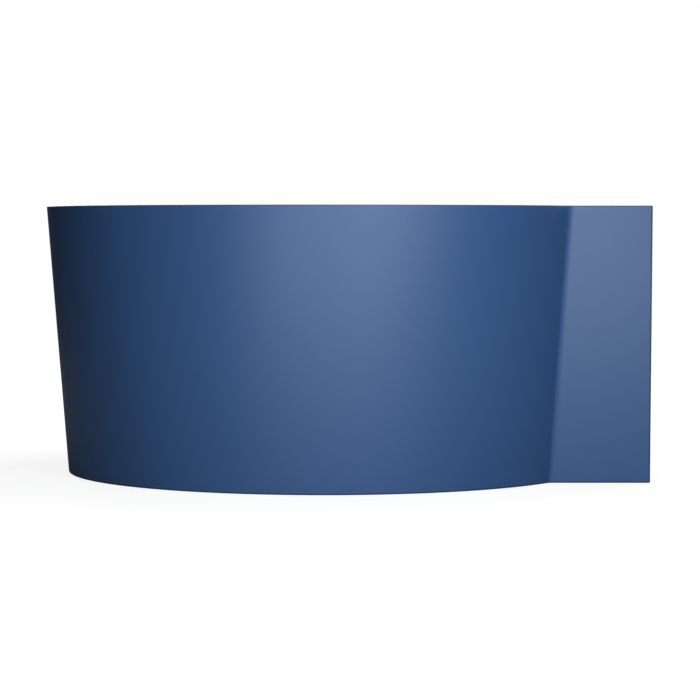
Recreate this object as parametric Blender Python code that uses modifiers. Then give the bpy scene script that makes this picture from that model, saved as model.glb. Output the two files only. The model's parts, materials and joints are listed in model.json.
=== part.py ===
"""Corner bath: a round bowl in a one-piece skirt with two wings, on a steel frame with levelling feet,
with a pop-up waste, a turning overflow knob and a trap. Metres, +Z up, the front towards -Y."""

import math

import bmesh
import bpy
from mathutils import Vector

# Basin
HEIGHT = 0.605
SHELL = 0.006
BOWL_RADIUS = 0.585
BOWL_DRAFT = math.radians(10)
BOWL_FILLET = 0.100
FLOOR_HEIGHT = 0.130
LIP_DEPTH = 0.040

# Skirt: its foot, and how far its rim and the walls lie outside the bowl's mouth
BASE_RADIUS = 0.593
RIM_WIDTH = 0.055
WALL_MARGIN = 0.070
WING_OFFSET = 0.335
WING_LEAN = 0.023
CREASE_RADIUS = 0.015
SKIRT_WALL = 0.008

# Joints between pieces that touch, and between the skirt and the basin
GAP = 0.0003
SEALANT_GAP = 0.0006
GASKET_INSET = 0.001
HOLE_CLEARANCE = 0.0013

# Frame under the bowl and behind it
BOARD_THICKNESS = 0.018
BOARD_HOLE_CLEARANCE = 0.009
BOARD_EDGE = 0.015
RAIL_SIZE = 0.030
RAIL_WALL = 0.002
RAIL_SPREAD = 0.200
RAIL_END_CLEARANCE = 0.044
RAIL_OVERHANG = 0.020
CROSS_RAIL_SETBACK = 0.100
UPRIGHT_SIZE = 0.025
UPRIGHT_CLEARANCE = 0.055
BEARER_WIDTH = 0.035
BEARER_HEIGHT = 0.045
BATTEN_WIDTH = 0.020
BATTEN_HEIGHT = 0.040
BRACKET_WIDTH = 0.040
BRACKET_SHEET = 0.003
BRACKET_TONGUE = 0.095
BRACKET_LEG = 0.045
BRACKET_INSET = 0.025

# Levelling feet
FRONT_FOOT_SETBACK = 0.140
BACK_FOOT_SETBACK = 0.160
SPINDLE_RADIUS = 0.005
SPINDLE_COLLAR_RADIUS = 0.009
SPINDLE_COLLAR_HEIGHT = 0.007
SPINDLE_HEADROOM = 0.003
RAIL_NUT_RADIUS = 0.012
RAIL_NUT_HEIGHT = 0.014
LOCK_NUT_RADIUS = 0.010
LOCK_NUT_HEIGHT = 0.008
PAD_RADIUS = 0.025
PAD_HEIGHT = 0.012
PAD_SOCKET_RADIUS = 0.0065
PAD_SOCKET_DEPTH = 0.007

# Pop-up waste in the bowl's floor
DRAIN_SETBACK = 0.077
DRAIN_HOLE_RADIUS = 0.026
DRAIN_FLANGE_RADIUS = 0.035
DRAIN_FLANGE_THICKNESS = 0.004
DRAIN_NECK_WALL = 0.0037
UPPER_GASKET = 0.002
LOWER_GASKET = 0.003
WASTE_BODY_CLEARANCE = 0.0008
WASTE_BODY_WALL = 0.0045
WASTE_FLANGE_WIDTH = 0.006
WASTE_FLANGE_THICKNESS = 0.004
WASTE_SUMP = 0.029
WASTE_SPIGOT_REACH = 0.055
GUIDE_HUB_RADIUS = 0.008
GUIDE_HEIGHT = 0.006
GUIDE_BAR_WIDTH = 0.004
GUIDE_CLEARANCE = 0.011
PLUG_RADIUS = 0.030
PLUG_EDGE = 0.003
PLUG_CROWN = 0.003
PLUG_LIFT = 0.008
PLUG_STEM_RADIUS = 0.004
PLUG_SEAL_THICKNESS = 0.0025
PLUG_SEAL_INNER_RADIUS = 0.023
PLUG_SEAL_OUTER_RADIUS = 0.029
LIFT_PIVOT_OFFSET = 0.017
LIFT_PIVOT_DROP = 0.006
LIFT_PIN_RADIUS = 0.002
LIFT_TIP_RADIUS = 0.003
LIFT_CRANK_LENGTH = 0.014
LIFT_CRANK_PLACE = 0.0315
LIFT_CRANK_THICKNESS = 0.004
LIFT_CRANK_WIDTH = 0.006

# Drain line, along the diagonal towards the wall corner
PIPE_CLEARANCE = 0.0024
PIPE_RADIUS = 0.020
PIPE_WALL = 0.002
SOCKET_WALL = 0.0027
SOCKET_DEPTH = 0.018
TEE_HALF_LENGTH = 0.035
BRANCH_HEIGHT = 0.049
TRAP_SPACING = 0.118
TRAP_RADIUS = 0.038
TRAP_WALL = 0.0035
TRAP_RISE = 0.034
TRAP_SUMP = 0.056
TRAP_CAP_RADIUS = 0.040
TRAP_CAP_THICKNESS = 0.008
TRAP_CAP_PLUG = 0.008
TRAP_SOCKET_REACH = 0.063
OUTLET_LENGTH = 0.152
NUT_WALL = 0.004
NUT_LIP = 0.004
NUT_SKIRT = 0.014

# Overflow in the bowl's wall
OVERFLOW_DROP = 0.105
OVERFLOW_HOLE_RADIUS = 0.026
OVERFLOW_PLATE_LIP = 0.004
OVERFLOW_PLATE_THICKNESS = 0.003
OVERFLOW_NECK_WALL = 0.0022
OVERFLOW_NECK_LENGTH = 0.028
OVERFLOW_SLOT_RADIUS = 0.006
OVERFLOW_SLOT_CIRCLE = 0.0145
OVERFLOW_SLOTS = 4
OVERFLOW_GASKET = 0.002
OVERFLOW_FLANGE_WIDTH = 0.004
OVERFLOW_FLANGE_THICKNESS = 0.003
OVERFLOW_BODY_CLEARANCE = 0.0023
OVERFLOW_BODY_WALL = 0.003
OVERFLOW_BODY_LENGTH = 0.036
OVERFLOW_PIPE_RADIUS = 0.016
OVERFLOW_SOCKET_DROP = 0.055
OVERFLOW_PIPE_OFFSET = 0.0305
KNOB_RADIUS = 0.036
KNOB_THICKNESS = 0.012
KNOB_STANDOFF = 0.004
KNOB_SPINDLE_RADIUS = 0.004
KNOB_SPINDLE_LENGTH = 0.030

# Control cable: where it runs, as distances along the diagonal, across it and above the floor
CABLE_RADIUS = 0.0025
CABLE_BOSS_RADIUS = 0.005
CABLE_BOSS_BITE = 0.001
CABLE_BOSS_LENGTH = 0.033
CABLE_STOP_START = 0.030
CABLE_STOP_LENGTH = 0.010
CABLE_STOP_PLACE = 0.035
CABLE_STOP_SIZE = 0.012
CABLE_STOP_RISE = 0.008
CABLE_SPACING = 0.013

# Facets
ARC_HALF_STEPS = 24
CREASE_STEPS = 4
BOWL_STEPS = 64
FILLET_STEPS = 8
ROUND_STEPS = 20
MERGE = 0.00001

# Levels and places that follow from the sizes
RIM_RADIUS = BOWL_RADIUS + RIM_WIDTH
WALL_REACH = RIM_RADIUS + WALL_MARGIN
BOWL_CENTRE = (RIM_RADIUS - WALL_REACH) / 2
TAPER = math.atan((RIM_RADIUS - BASE_RADIUS) / HEIGHT)
SKIRT_INSET = SKIRT_WALL / math.cos(TAPER)
DECK_INSET = SKIRT_INSET + SEALANT_GAP
DECK_UNDERSIDE = HEIGHT - SHELL - GAP
FILLET_LEVEL = FLOOR_HEIGHT + BOWL_FILLET * (1.0 - math.sin(BOWL_DRAFT))
FILLET_RADIUS = BOWL_RADIUS - (HEIGHT - FILLET_LEVEL) * math.tan(BOWL_DRAFT)
FLOOR_RADIUS = FILLET_RADIUS - BOWL_FILLET * math.cos(BOWL_DRAFT)
FLOOR_UNDERSIDE = FLOOR_HEIGHT - SHELL
DRAIN_REACH = FLOOR_RADIUS - DRAIN_SETBACK
DRAIN_NECK_RADIUS = DRAIN_HOLE_RADIUS - HOLE_CLEARANCE
DRAIN_BORE_RADIUS = DRAIN_NECK_RADIUS - DRAIN_NECK_WALL
WASTE_BODY_RADIUS = DRAIN_NECK_RADIUS + WASTE_BODY_CLEARANCE + WASTE_BODY_WALL
WASTE_FLANGE_RADIUS = WASTE_BODY_RADIUS + WASTE_FLANGE_WIDTH
BOARD_HOLE_RADIUS = WASTE_FLANGE_RADIUS + BOARD_HOLE_CLEARANCE
BOARD_RADIUS = DRAIN_REACH + BOARD_HOLE_RADIUS + BOARD_EDGE
BOARD_TOP = FLOOR_UNDERSIDE - GAP
BOARD_BOTTOM = BOARD_TOP - BOARD_THICKNESS
RAIL_TOP = BOARD_BOTTOM - GAP
RAIL_BOTTOM = RAIL_TOP - RAIL_SIZE
SKIRT_FOOT = BASE_RADIUS - SKIRT_INSET
RAIL_EDGE = RAIL_SPREAD + RAIL_SIZE / 2
RAIL_FRONT = math.sqrt(SKIRT_FOOT ** 2 - RAIL_EDGE ** 2) - RAIL_END_CLEARANCE
UPRIGHT_REACH = BOWL_RADIUS + UPRIGHT_CLEARANCE
RAIL_BACK = UPRIGHT_REACH + RAIL_OVERHANG
CROSS_RAIL_EDGE = CROSS_RAIL_SETBACK + RAIL_SIZE / 2
CROSS_RAIL_REACH = math.sqrt(SKIRT_FOOT ** 2 - CROSS_RAIL_EDGE ** 2) - RAIL_END_CLEARANCE
CROSS_RAIL_TOP = RAIL_BOTTOM - GAP
FOOT_FRONT = RAIL_FRONT - FRONT_FOOT_SETBACK
FOOT_BACK = RAIL_BACK - BACK_FOOT_SETBACK
BEARER_BOTTOM = DECK_UNDERSIDE - BEARER_HEIGHT
PIPE_BORE = PIPE_RADIUS - PIPE_WALL
SOCKET_BORE = PIPE_RADIUS + GAP
SOCKET_RADIUS = SOCKET_BORE + SOCKET_WALL
PIPE_AXIS = BOARD_BOTTOM - PIPE_CLEARANCE - NUT_WALL - GAP - SOCKET_RADIUS
WASTE_TOP = FLOOR_UNDERSIDE - LOWER_GASKET - 2 * GAP
WASTE_MOUTH = DRAIN_REACH + WASTE_SPIGOT_REACH
FLANGE_SEAT = FLOOR_HEIGHT + UPPER_GASKET + 2 * GAP
FLANGE_TOP = FLANGE_SEAT + DRAIN_FLANGE_THICKNESS
GUIDE_TOP = PIPE_AXIS + PIPE_RADIUS + GUIDE_CLEARANCE
PLUG_UNDERSIDE = FLANGE_TOP + PLUG_SEAL_THICKNESS + 2 * GAP
LIFT_ANGLE = math.atan(PLUG_LIFT / 2 / LIFT_PIVOT_OFFSET)
LIFT_LEVEL = PIPE_AXIS - LIFT_PIVOT_DROP
STEM_END = LIFT_LEVEL - PLUG_LIFT / 2 + LIFT_TIP_RADIUS + GAP
OVERFLOW_LEVEL = HEIGHT - OVERFLOW_DROP
OVERFLOW_REACH = BOWL_RADIUS - OVERFLOW_DROP * math.tan(BOWL_DRAFT)
OVERFLOW_PLATE_RADIUS = OVERFLOW_HOLE_RADIUS + OVERFLOW_PLATE_LIP
OVERFLOW_SEAT = OVERFLOW_PLATE_RADIUS * math.tan(math.pi / BOWL_STEPS) + GAP
OVERFLOW_NECK_RADIUS = OVERFLOW_HOLE_RADIUS - HOLE_CLEARANCE
OVERFLOW_NECK_BORE_RADIUS = OVERFLOW_NECK_RADIUS - OVERFLOW_NECK_WALL
OVERFLOW_BODY_RADIUS = OVERFLOW_NECK_RADIUS + OVERFLOW_BODY_CLEARANCE + OVERFLOW_BODY_WALL
OVERFLOW_FLANGE_RADIUS = OVERFLOW_BODY_RADIUS + OVERFLOW_FLANGE_WIDTH
OVERFLOW_BACK = -SHELL - OVERFLOW_GASKET - 2 * GAP
OVERFLOW_SOCKET_BORE = OVERFLOW_PIPE_RADIUS + GAP
OVERFLOW_SOCKET_RADIUS = OVERFLOW_SOCKET_BORE + SOCKET_WALL
CABLE_BOSS_PLACE = OVERFLOW_BODY_RADIUS - CABLE_BOSS_BITE
CABLE_BOSS_END = OVERFLOW_LEVEL - CABLE_BOSS_LENGTH
TEE_REACH = OVERFLOW_REACH + OVERFLOW_PIPE_OFFSET
BRANCH_TOP = PIPE_AXIS + BRANCH_HEIGHT
ELBOW_MOUTH = OVERFLOW_LEVEL - OVERFLOW_SOCKET_DROP
TRAP_REACH = TEE_REACH + TRAP_SPACING
TRAP_MOUTH = TRAP_REACH + TRAP_SOCKET_REACH
TRAP_TOP = PIPE_AXIS + TRAP_RISE
OUTLET_END = TRAP_MOUTH + OUTLET_LENGTH
ALONG_DIAGONAL = (0.0, math.pi / 2, 0.0)
BACK_ALONG_DIAGONAL = (0.0, -math.pi / 2, 0.0)
ACROSS_DIAGONAL = (-math.pi / 2, 0.0, 0.0)
UPSIDE_DOWN = (math.pi, 0.0, 0.0)

for old in list(bpy.data.objects):
    bpy.data.objects.remove(old, do_unlink=True)

PARTS = bpy.data.collections.new("corner_bath")
CUTTERS = bpy.data.collections.new("cutters")
for group in (PARTS, CUTTERS):
    bpy.context.scene.collection.children.link(group)


def finish(name, colour, roughness, metallic=0.0):
    material = bpy.data.materials.new(name)
    material.use_nodes = True
    shader = material.node_tree.nodes["Principled BSDF"]
    shader.inputs["Base Color"].default_value = (*colour, 1.0)
    shader.inputs["Roughness"].default_value = roughness
    shader.inputs["Metallic"].default_value = metallic
    return material


BLUE = finish("satin_blue", (0.060, 0.115, 0.250), 0.45)
WHITE = finish("gloss_white", (0.86, 0.87, 0.88), 0.15)
TIMBER = finish("plain_timber", (0.58, 0.42, 0.25), 0.70)
STEEL = finish("zinc_steel", (0.55, 0.56, 0.58), 0.40, 1.0)
CHROME = finish("chrome", (0.80, 0.81, 0.83), 0.08, 1.0)
PLASTIC = finish("white_plastic", (0.80, 0.80, 0.78), 0.40)
BLACK = finish("black_plastic", (0.03, 0.03, 0.03), 0.50)
RUBBER = finish("black_rubber", (0.02, 0.02, 0.02), 0.80)


def empty(name, location, rotation=(0.0, 0.0, 0.0), parent=None):
    holder = bpy.data.objects.new(name, None)
    holder.location = location
    holder.rotation_euler = rotation
    holder.parent = parent
    PARTS.objects.link(holder)
    return holder


# The bowl's centre, and the diagonal from it to the wall corner, along +X of its own
CENTRE = empty("bowl_centre", (BOWL_CENTRE, BOWL_CENTRE, 0.0))
DIAGONAL = empty("corner_diagonal", (0.0, 0.0, 0.0), (0.0, 0.0, math.pi / 4), CENTRE)
OVERFLOW = empty(
    "overflow_axis",
    (OVERFLOW_REACH, 0.0, OVERFLOW_LEVEL),
    (0.0, BOWL_DRAFT - math.pi / 2, 0.0),
    DIAGONAL,
)
LIFT_AXIS = empty("lift_axis", (DRAIN_REACH + LIFT_PIVOT_OFFSET, 0.0, LIFT_LEVEL), parent=DIAGONAL)


def place(name, mesh, material, parent, location=(0.0, 0.0, 0.0), rotation=(0.0, 0.0, 0.0)):
    """Links a piece, or a tool where it has no material."""
    piece = bpy.data.objects.new(name, mesh)
    piece.parent = parent
    piece.location = location
    piece.rotation_euler = rotation
    if material:
        mesh.materials.append(material)
        PARTS.objects.link(piece)
    else:
        piece.hide_render = True
        piece.display_type = "WIRE"
        CUTTERS.objects.link(piece)
    return piece


def from_bmesh(name, work, material, parent, location=(0.0, 0.0, 0.0), rotation=(0.0, 0.0, 0.0)):
    mesh = bpy.data.meshes.new(name)
    work.to_mesh(mesh)
    work.free()
    return place(name, mesh, material, parent, location, rotation)


def turned(name, profile, material, parent, location=(0.0, 0.0, 0.0), rotation=(0.0, 0.0, 0.0),
           steps=ROUND_STEPS):
    """A turned piece: points of radius and height, closed on the axis or round a bore."""
    edges = [(index, index + 1) for index in range(len(profile) - 1)]
    if profile[0][0] > 0:
        edges.append((len(profile) - 1, 0))
    mesh = bpy.data.meshes.new(name)
    mesh.from_pydata([(radius, 0.0, height) for radius, height in profile], edges, [])
    piece = place(name, mesh, material, parent, location, rotation)
    screw = piece.modifiers.new("turn", "SCREW")
    screw.axis = "Z"
    screw.steps = steps
    screw.render_steps = steps
    screw.use_merge_vertices = True
    screw.merge_threshold = MERGE
    return piece


def ring(inner, outer, low, high):
    return [(outer, high), (outer, low), (inner, low), (inner, high)]


def rod(radius, low, high):
    return [(0.0, high), (radius, high), (radius, low), (0.0, low)]


def block(name, low, high, material, parent, location=(0.0, 0.0, 0.0), rotation=(0.0, 0.0, 0.0)):
    size = Vector(high) - Vector(low)
    work = bmesh.new()
    bmesh.ops.create_cube(work, size=1.0)
    bmesh.ops.scale(work, vec=size, verts=work.verts)
    bmesh.ops.translate(work, vec=(Vector(high) + Vector(low)) / 2, verts=work.verts)
    return from_bmesh(name, work, material, parent, location, rotation)


def shape(piece, tool, operation="DIFFERENCE", solver="EXACT"):
    boolean = piece.modifiers.new(tool.name, "BOOLEAN")
    boolean.object = tool
    boolean.operation = operation
    boolean.solver = solver


def outline(level, inset, wall):
    """Plan of the skirt at a level, moved inwards: right wing, crease, round front, and the same mirrored."""
    share = level / HEIGHT
    radius = BASE_RADIUS + (RIM_RADIUS - BASE_RADIUS) * share - inset
    wing = WING_OFFSET + WING_LEAN * share - inset
    crease = CREASE_RADIUS + inset
    across = math.sqrt((radius + crease) ** 2 - (wing + crease) ** 2)
    turn = math.atan2(-(wing + crease), across)
    half = [Vector((wall, -wing))]
    for step in range(CREASE_STEPS + 1):
        angle = math.pi / 2 + (math.pi / 2 + turn) * step / CREASE_STEPS
        half.append(Vector((across + crease * math.cos(angle), crease * math.sin(angle) - wing - crease)))
    for step in range(1, ARC_HALF_STEPS):
        angle = turn + (-0.75 * math.pi - turn) * step / ARC_HALF_STEPS
        half.append(Vector((radius * math.cos(angle), radius * math.sin(angle))))
    middle = Vector((-radius, -radius)) / math.sqrt(2)
    return half + [middle] + [point.yx for point in reversed(half)]


def loft(name, low, high, low_level, high_level, material, parent):
    """Joins a low and a high outline into a solid with a flat top and bottom."""
    work = bmesh.new()
    below = [work.verts.new((*point, low_level)) for point in low]
    above = [work.verts.new((*point, high_level)) for point in high]
    for index, start in enumerate(below):
        work.faces.new((below[index - 1], start, above[index], above[index - 1]))
    work.faces.new(above)
    work.faces.new(below)
    bmesh.ops.recalc_face_normals(work, faces=work.faces)
    return from_bmesh(name, work, material, parent)


def deck_outline(level, inset, wall):
    return outline(level, inset, wall) + [Vector((wall, wall))]


def bowl_profile(offset, top):
    """Half section of the bowl from its mouth to its centre, moved outwards by an offset."""
    middle_level = FLOOR_HEIGHT + BOWL_FILLET
    mouth = BOWL_RADIUS + offset / math.cos(BOWL_DRAFT) + (top - HEIGHT) * math.tan(BOWL_DRAFT)
    points = [(0.0, top), (mouth, top)]
    for step in range(FILLET_STEPS + 1):
        angle = -BOWL_DRAFT - (math.pi / 2 - BOWL_DRAFT) * step / FILLET_STEPS
        reach = BOWL_FILLET + offset
        points.append((FLOOR_RADIUS + reach * math.cos(angle), middle_level + reach * math.sin(angle)))
    points.append((0.0, FLOOR_HEIGHT - offset))
    return points


def skirt_section(level):
    """The skirt's outer face and, back again, its inner face at a level."""
    return outline(level, 0.0, WALL_REACH) + outline(level, SKIRT_INSET, WALL_REACH)[::-1]


def make_skirt():
    loft("skirt", skirt_section(0.0), skirt_section(HEIGHT), 0.0, HEIGHT, BLUE, CENTRE)


def make_basin():
    lip_level = HEIGHT - LIP_DEPTH
    basin = loft(
        "basin",
        deck_outline(lip_level, DECK_INSET, WALL_REACH),
        deck_outline(HEIGHT, DECK_INSET, WALL_REACH),
        lip_level,
        HEIGHT,
        WHITE,
        CENTRE,
    )
    below_lip = lip_level - SHELL
    tray = loft(
        "deck_underside_cutter",
        deck_outline(below_lip, DECK_INSET + SHELL, WALL_REACH - SHELL),
        deck_outline(HEIGHT - SHELL, DECK_INSET + SHELL, WALL_REACH - SHELL),
        below_lip,
        HEIGHT - SHELL,
        None,
        CENTRE,
    )
    outside = bowl_profile(SHELL, HEIGHT - SHELL / 2)
    inside = bowl_profile(0.0, HEIGHT + SHELL)
    shape(basin, tray)
    shape(basin, turned("bowl_outside_tool", outside, None, DIAGONAL, steps=BOWL_STEPS), "UNION")
    shape(basin, turned("bowl_inside_cutter", inside, None, DIAGONAL, steps=BOWL_STEPS))
    drain = rod(DRAIN_HOLE_RADIUS, FLOOR_UNDERSIDE - SHELL, FLOOR_HEIGHT + SHELL)
    shape(basin, turned("drain_hole_cutter", drain, None, DIAGONAL, (DRAIN_REACH, 0.0, 0.0)))
    hole = rod(OVERFLOW_HOLE_RADIUS, -2 * SHELL, SHELL)
    shape(basin, turned("overflow_hole_cutter", hole, None, OVERFLOW))


def make_base_board():
    disc = rod(BOARD_RADIUS, BOARD_BOTTOM, BOARD_TOP)
    board = turned("base_board", disc, TIMBER, DIAGONAL, steps=BOWL_STEPS)
    hole = rod(BOARD_HOLE_RADIUS, BOARD_BOTTOM - BOARD_THICKNESS, BOARD_TOP + BOARD_THICKNESS)
    shape(board, turned("board_hole_cutter", hole, None, DIAGONAL, (DRAIN_REACH, 0.0, 0.0)))


def square_tube(name, size, low, high, axis, parent):
    """A square steel tube along one axis, open at both ends."""
    tube = block(name, low, high, STEEL, parent)
    inner_low = [value + RAIL_WALL for value in low]
    inner_high = [value - RAIL_WALL for value in high]
    inner_low[axis] = low[axis] - size
    inner_high[axis] = high[axis] + size
    shape(tube, block(name + "_bore_cutter", inner_low, inner_high, None, parent))
    return tube


def make_frame():
    half = RAIL_SIZE / 2
    for side, sign in (("left", 1), ("right", -1)):
        middle = sign * RAIL_SPREAD
        rail = square_tube(
            "support_rail_" + side,
            RAIL_SIZE,
            (-RAIL_FRONT, middle - half, RAIL_BOTTOM),
            (RAIL_BACK, middle + half, RAIL_TOP),
            0,
            DIAGONAL,
        )
        for place_name, reach in (("front", -FOOT_FRONT), ("back", FOOT_BACK)):
            hole = rod(SPINDLE_RADIUS + GAP, RAIL_BOTTOM - RAIL_WALL, RAIL_BOTTOM + half)
            name = "_".join(("spindle_hole", place_name, side, "cutter"))
            shape(rail, turned(name, hole, None, DIAGONAL, (reach, middle, 0.0)))
        post = UPRIGHT_SIZE / 2
        square_tube(
            "upright_" + side,
            UPRIGHT_SIZE,
            (UPRIGHT_REACH - post, middle - post, RAIL_TOP + GAP),
            (UPRIGHT_REACH + post, middle + post, BEARER_BOTTOM - GAP),
            2,
            DIAGONAL,
        )
    square_tube(
        "cross_rail",
        RAIL_SIZE,
        (-CROSS_RAIL_SETBACK - half, -CROSS_RAIL_REACH, CROSS_RAIL_TOP - RAIL_SIZE),
        (-CROSS_RAIL_SETBACK + half, CROSS_RAIL_REACH, CROSS_RAIL_TOP),
        1,
        DIAGONAL,
    )


def make_deck_timbers():
    batten_low = DECK_UNDERSIDE - BATTEN_HEIGHT
    outer = WALL_REACH - SHELL - GAP
    inner = outer - BATTEN_WIDTH
    lip_inset = DECK_INSET + SHELL / math.cos(TAPER) + GAP
    start = lip_inset - WING_OFFSET - WING_LEAN * batten_low / HEIGHT
    right_end = (outer, outer, DECK_UNDERSIDE)
    back_end = (inner - GAP, outer, DECK_UNDERSIDE)
    block("wall_batten_right", (inner, start, batten_low), right_end, TIMBER, CENTRE)
    block("wall_batten_back", (start, inner, batten_low), back_end, TIMBER, CENTRE)
    half = BEARER_WIDTH / 2
    reach = (inner - GAP) * math.sqrt(2) - UPRIGHT_REACH - half - GAP
    block(
        "deck_bearer",
        (UPRIGHT_REACH - half, -reach, BEARER_BOTTOM),
        (UPRIGHT_REACH + half, reach, DECK_UNDERSIDE),
        TIMBER,
        DIAGONAL,
    )


def skirt_inside(level):
    """Radius that a flat bracket leg reaches inside the round skirt at a level."""
    radius = BASE_RADIUS + (RIM_RADIUS - BASE_RADIUS) * level / HEIGHT - SKIRT_INSET
    facet = 1.0 - math.cos(math.pi / 2 / ARC_HALF_STEPS)
    bow = (BRACKET_WIDTH / 2) ** 2 / (2 * radius)
    return radius * (1.0 - facet) - bow - GAP


def make_skirt_bracket(name, along, across, level):
    """An angle that lies on a rail's end and leans against the skirt, square to it."""
    low = level + GAP
    top = low + BRACKET_LEG
    bend = low + BRACKET_SHEET
    section = [
        (skirt_inside(low) - BRACKET_TONGUE, low),
        (skirt_inside(low), low),
        (skirt_inside(top), top),
        (skirt_inside(top) - BRACKET_SHEET, top),
        (skirt_inside(bend) - BRACKET_SHEET, bend),
        (skirt_inside(low) - BRACKET_TONGUE, bend),
    ]
    work = bmesh.new()
    side = [work.verts.new((radius, -BRACKET_WIDTH / 2, height)) for radius, height in section]
    face = work.faces.new(side)
    made = bmesh.ops.extrude_face_region(work, geom=[face])
    moved = [item for item in made["geom"] if isinstance(item, bmesh.types.BMVert)]
    bmesh.ops.translate(work, vec=(0.0, BRACKET_WIDTH, 0.0), verts=moved)
    bmesh.ops.recalc_face_normals(work, faces=work.faces)
    from_bmesh(name, work, STEEL, DIAGONAL, rotation=(0.0, 0.0, math.atan2(across, along)))


def make_skirt_brackets():
    for side, sign in (("left", 1), ("right", -1)):
        rail_end = BRACKET_INSET - RAIL_FRONT
        make_skirt_bracket("skirt_bracket_front_" + side, rail_end, sign * RAIL_SPREAD, RAIL_TOP)
        cross_end = sign * (CROSS_RAIL_REACH - BRACKET_INSET)
        make_skirt_bracket("skirt_bracket_" + side, -CROSS_RAIL_SETBACK, cross_end, CROSS_RAIL_TOP)


def make_hexagon_nut(name, radius, low, high, spot):
    nut = turned(name, rod(radius, low, high), STEEL, DIAGONAL, spot, steps=6)
    bore = rod(SPINDLE_RADIUS + GAP, low - GAP, high + GAP)
    shape(nut, turned(name + "_bore_cutter", bore, None, DIAGONAL, spot, steps=ROUND_STEPS // 2))


def make_foot(where, along, across):
    spot = (along, across, 0.0)
    nut_top = RAIL_BOTTOM - GAP
    nut_low = nut_top - RAIL_NUT_HEIGHT
    lock_top = nut_low - GAP
    make_hexagon_nut("rail_nut_" + where, RAIL_NUT_RADIUS, nut_low, nut_top, spot)
    make_hexagon_nut("lock_nut_" + where, LOCK_NUT_RADIUS, lock_top - LOCK_NUT_HEIGHT, lock_top, spot)
    socket_floor = PAD_HEIGHT - PAD_SOCKET_DEPTH
    pad = [
        (0.0, socket_floor),
        (PAD_SOCKET_RADIUS, socket_floor),
        (PAD_SOCKET_RADIUS, PAD_HEIGHT),
        (PAD_RADIUS / 2, PAD_HEIGHT),
        (PAD_RADIUS, PAD_HEIGHT / 2),
        (PAD_RADIUS, 0.0),
        (0.0, 0.0),
    ]
    turned("foot_pad_" + where, pad, BLACK, DIAGONAL, spot)
    collar_low = PAD_HEIGHT + GAP
    collar_top = collar_low + SPINDLE_COLLAR_HEIGHT
    top = RAIL_TOP - RAIL_WALL - SPINDLE_HEADROOM
    end = PAD_SOCKET_RADIUS - GAP
    spindle = [
        (0.0, top),
        (SPINDLE_RADIUS, top),
        (SPINDLE_RADIUS, collar_top),
        (SPINDLE_COLLAR_RADIUS, collar_top),
        (SPINDLE_COLLAR_RADIUS, collar_low),
        (end, collar_low),
        (end, socket_floor + GAP),
        (0.0, socket_floor + GAP),
    ]
    turned("foot_spindle_" + where, spindle, STEEL, DIAGONAL, spot, steps=ROUND_STEPS // 2)


def make_feet():
    for side, sign in (("left", 1), ("right", -1)):
        make_foot("front_" + side, -FOOT_FRONT, sign * RAIL_SPREAD)
        make_foot("back_" + side, FOOT_BACK, sign * RAIL_SPREAD)


def make_drain():
    spot = (DRAIN_REACH, 0.0, 0.0)
    inner = DRAIN_NECK_RADIUS + GAP
    upper = ring(inner, DRAIN_FLANGE_RADIUS - GASKET_INSET, FLOOR_HEIGHT + GAP, FLANGE_SEAT - GAP)
    turned("drain_gasket_upper", upper, RUBBER, DIAGONAL, spot)
    lower = ring(inner, WASTE_FLANGE_RADIUS - GASKET_INSET, WASTE_TOP + GAP, FLOOR_UNDERSIDE - GAP)
    turned("drain_gasket_lower", lower, RUBBER, DIAGONAL, spot)
    neck_end = GUIDE_TOP - GUIDE_HEIGHT
    flange = [
        (DRAIN_BORE_RADIUS, FLANGE_TOP),
        (DRAIN_FLANGE_RADIUS - DRAIN_FLANGE_THICKNESS / 2, FLANGE_TOP),
        (DRAIN_FLANGE_RADIUS, FLANGE_SEAT + DRAIN_FLANGE_THICKNESS / 4),
        (DRAIN_FLANGE_RADIUS, FLANGE_SEAT),
        (DRAIN_NECK_RADIUS, FLANGE_SEAT),
        (DRAIN_NECK_RADIUS, neck_end),
        (DRAIN_BORE_RADIUS, neck_end),
    ]
    drain = turned("drain_flange", flange, CHROME, DIAGONAL, spot)
    bite = (DRAIN_BORE_RADIUS + DRAIN_NECK_RADIUS) / 2
    bar_low = (-GUIDE_BAR_WIDTH / 2, -bite, neck_end)
    bar_high = (GUIDE_BAR_WIDTH / 2, bite, GUIDE_TOP)
    shape(drain, block("guide_bar_tool", bar_low, bar_high, None, DIAGONAL, spot), "UNION")
    hub = rod(GUIDE_HUB_RADIUS, neck_end, GUIDE_TOP)
    shape(drain, turned("guide_hub_tool", hub, None, DIAGONAL, spot, steps=ROUND_STEPS // 2), "UNION")
    bore = rod(PLUG_STEM_RADIUS + GAP, neck_end - GUIDE_HEIGHT, GUIDE_TOP + GUIDE_HEIGHT)
    shape(drain, turned("guide_bore_cutter", bore, None, DIAGONAL, spot, steps=ROUND_STEPS // 2))


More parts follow.
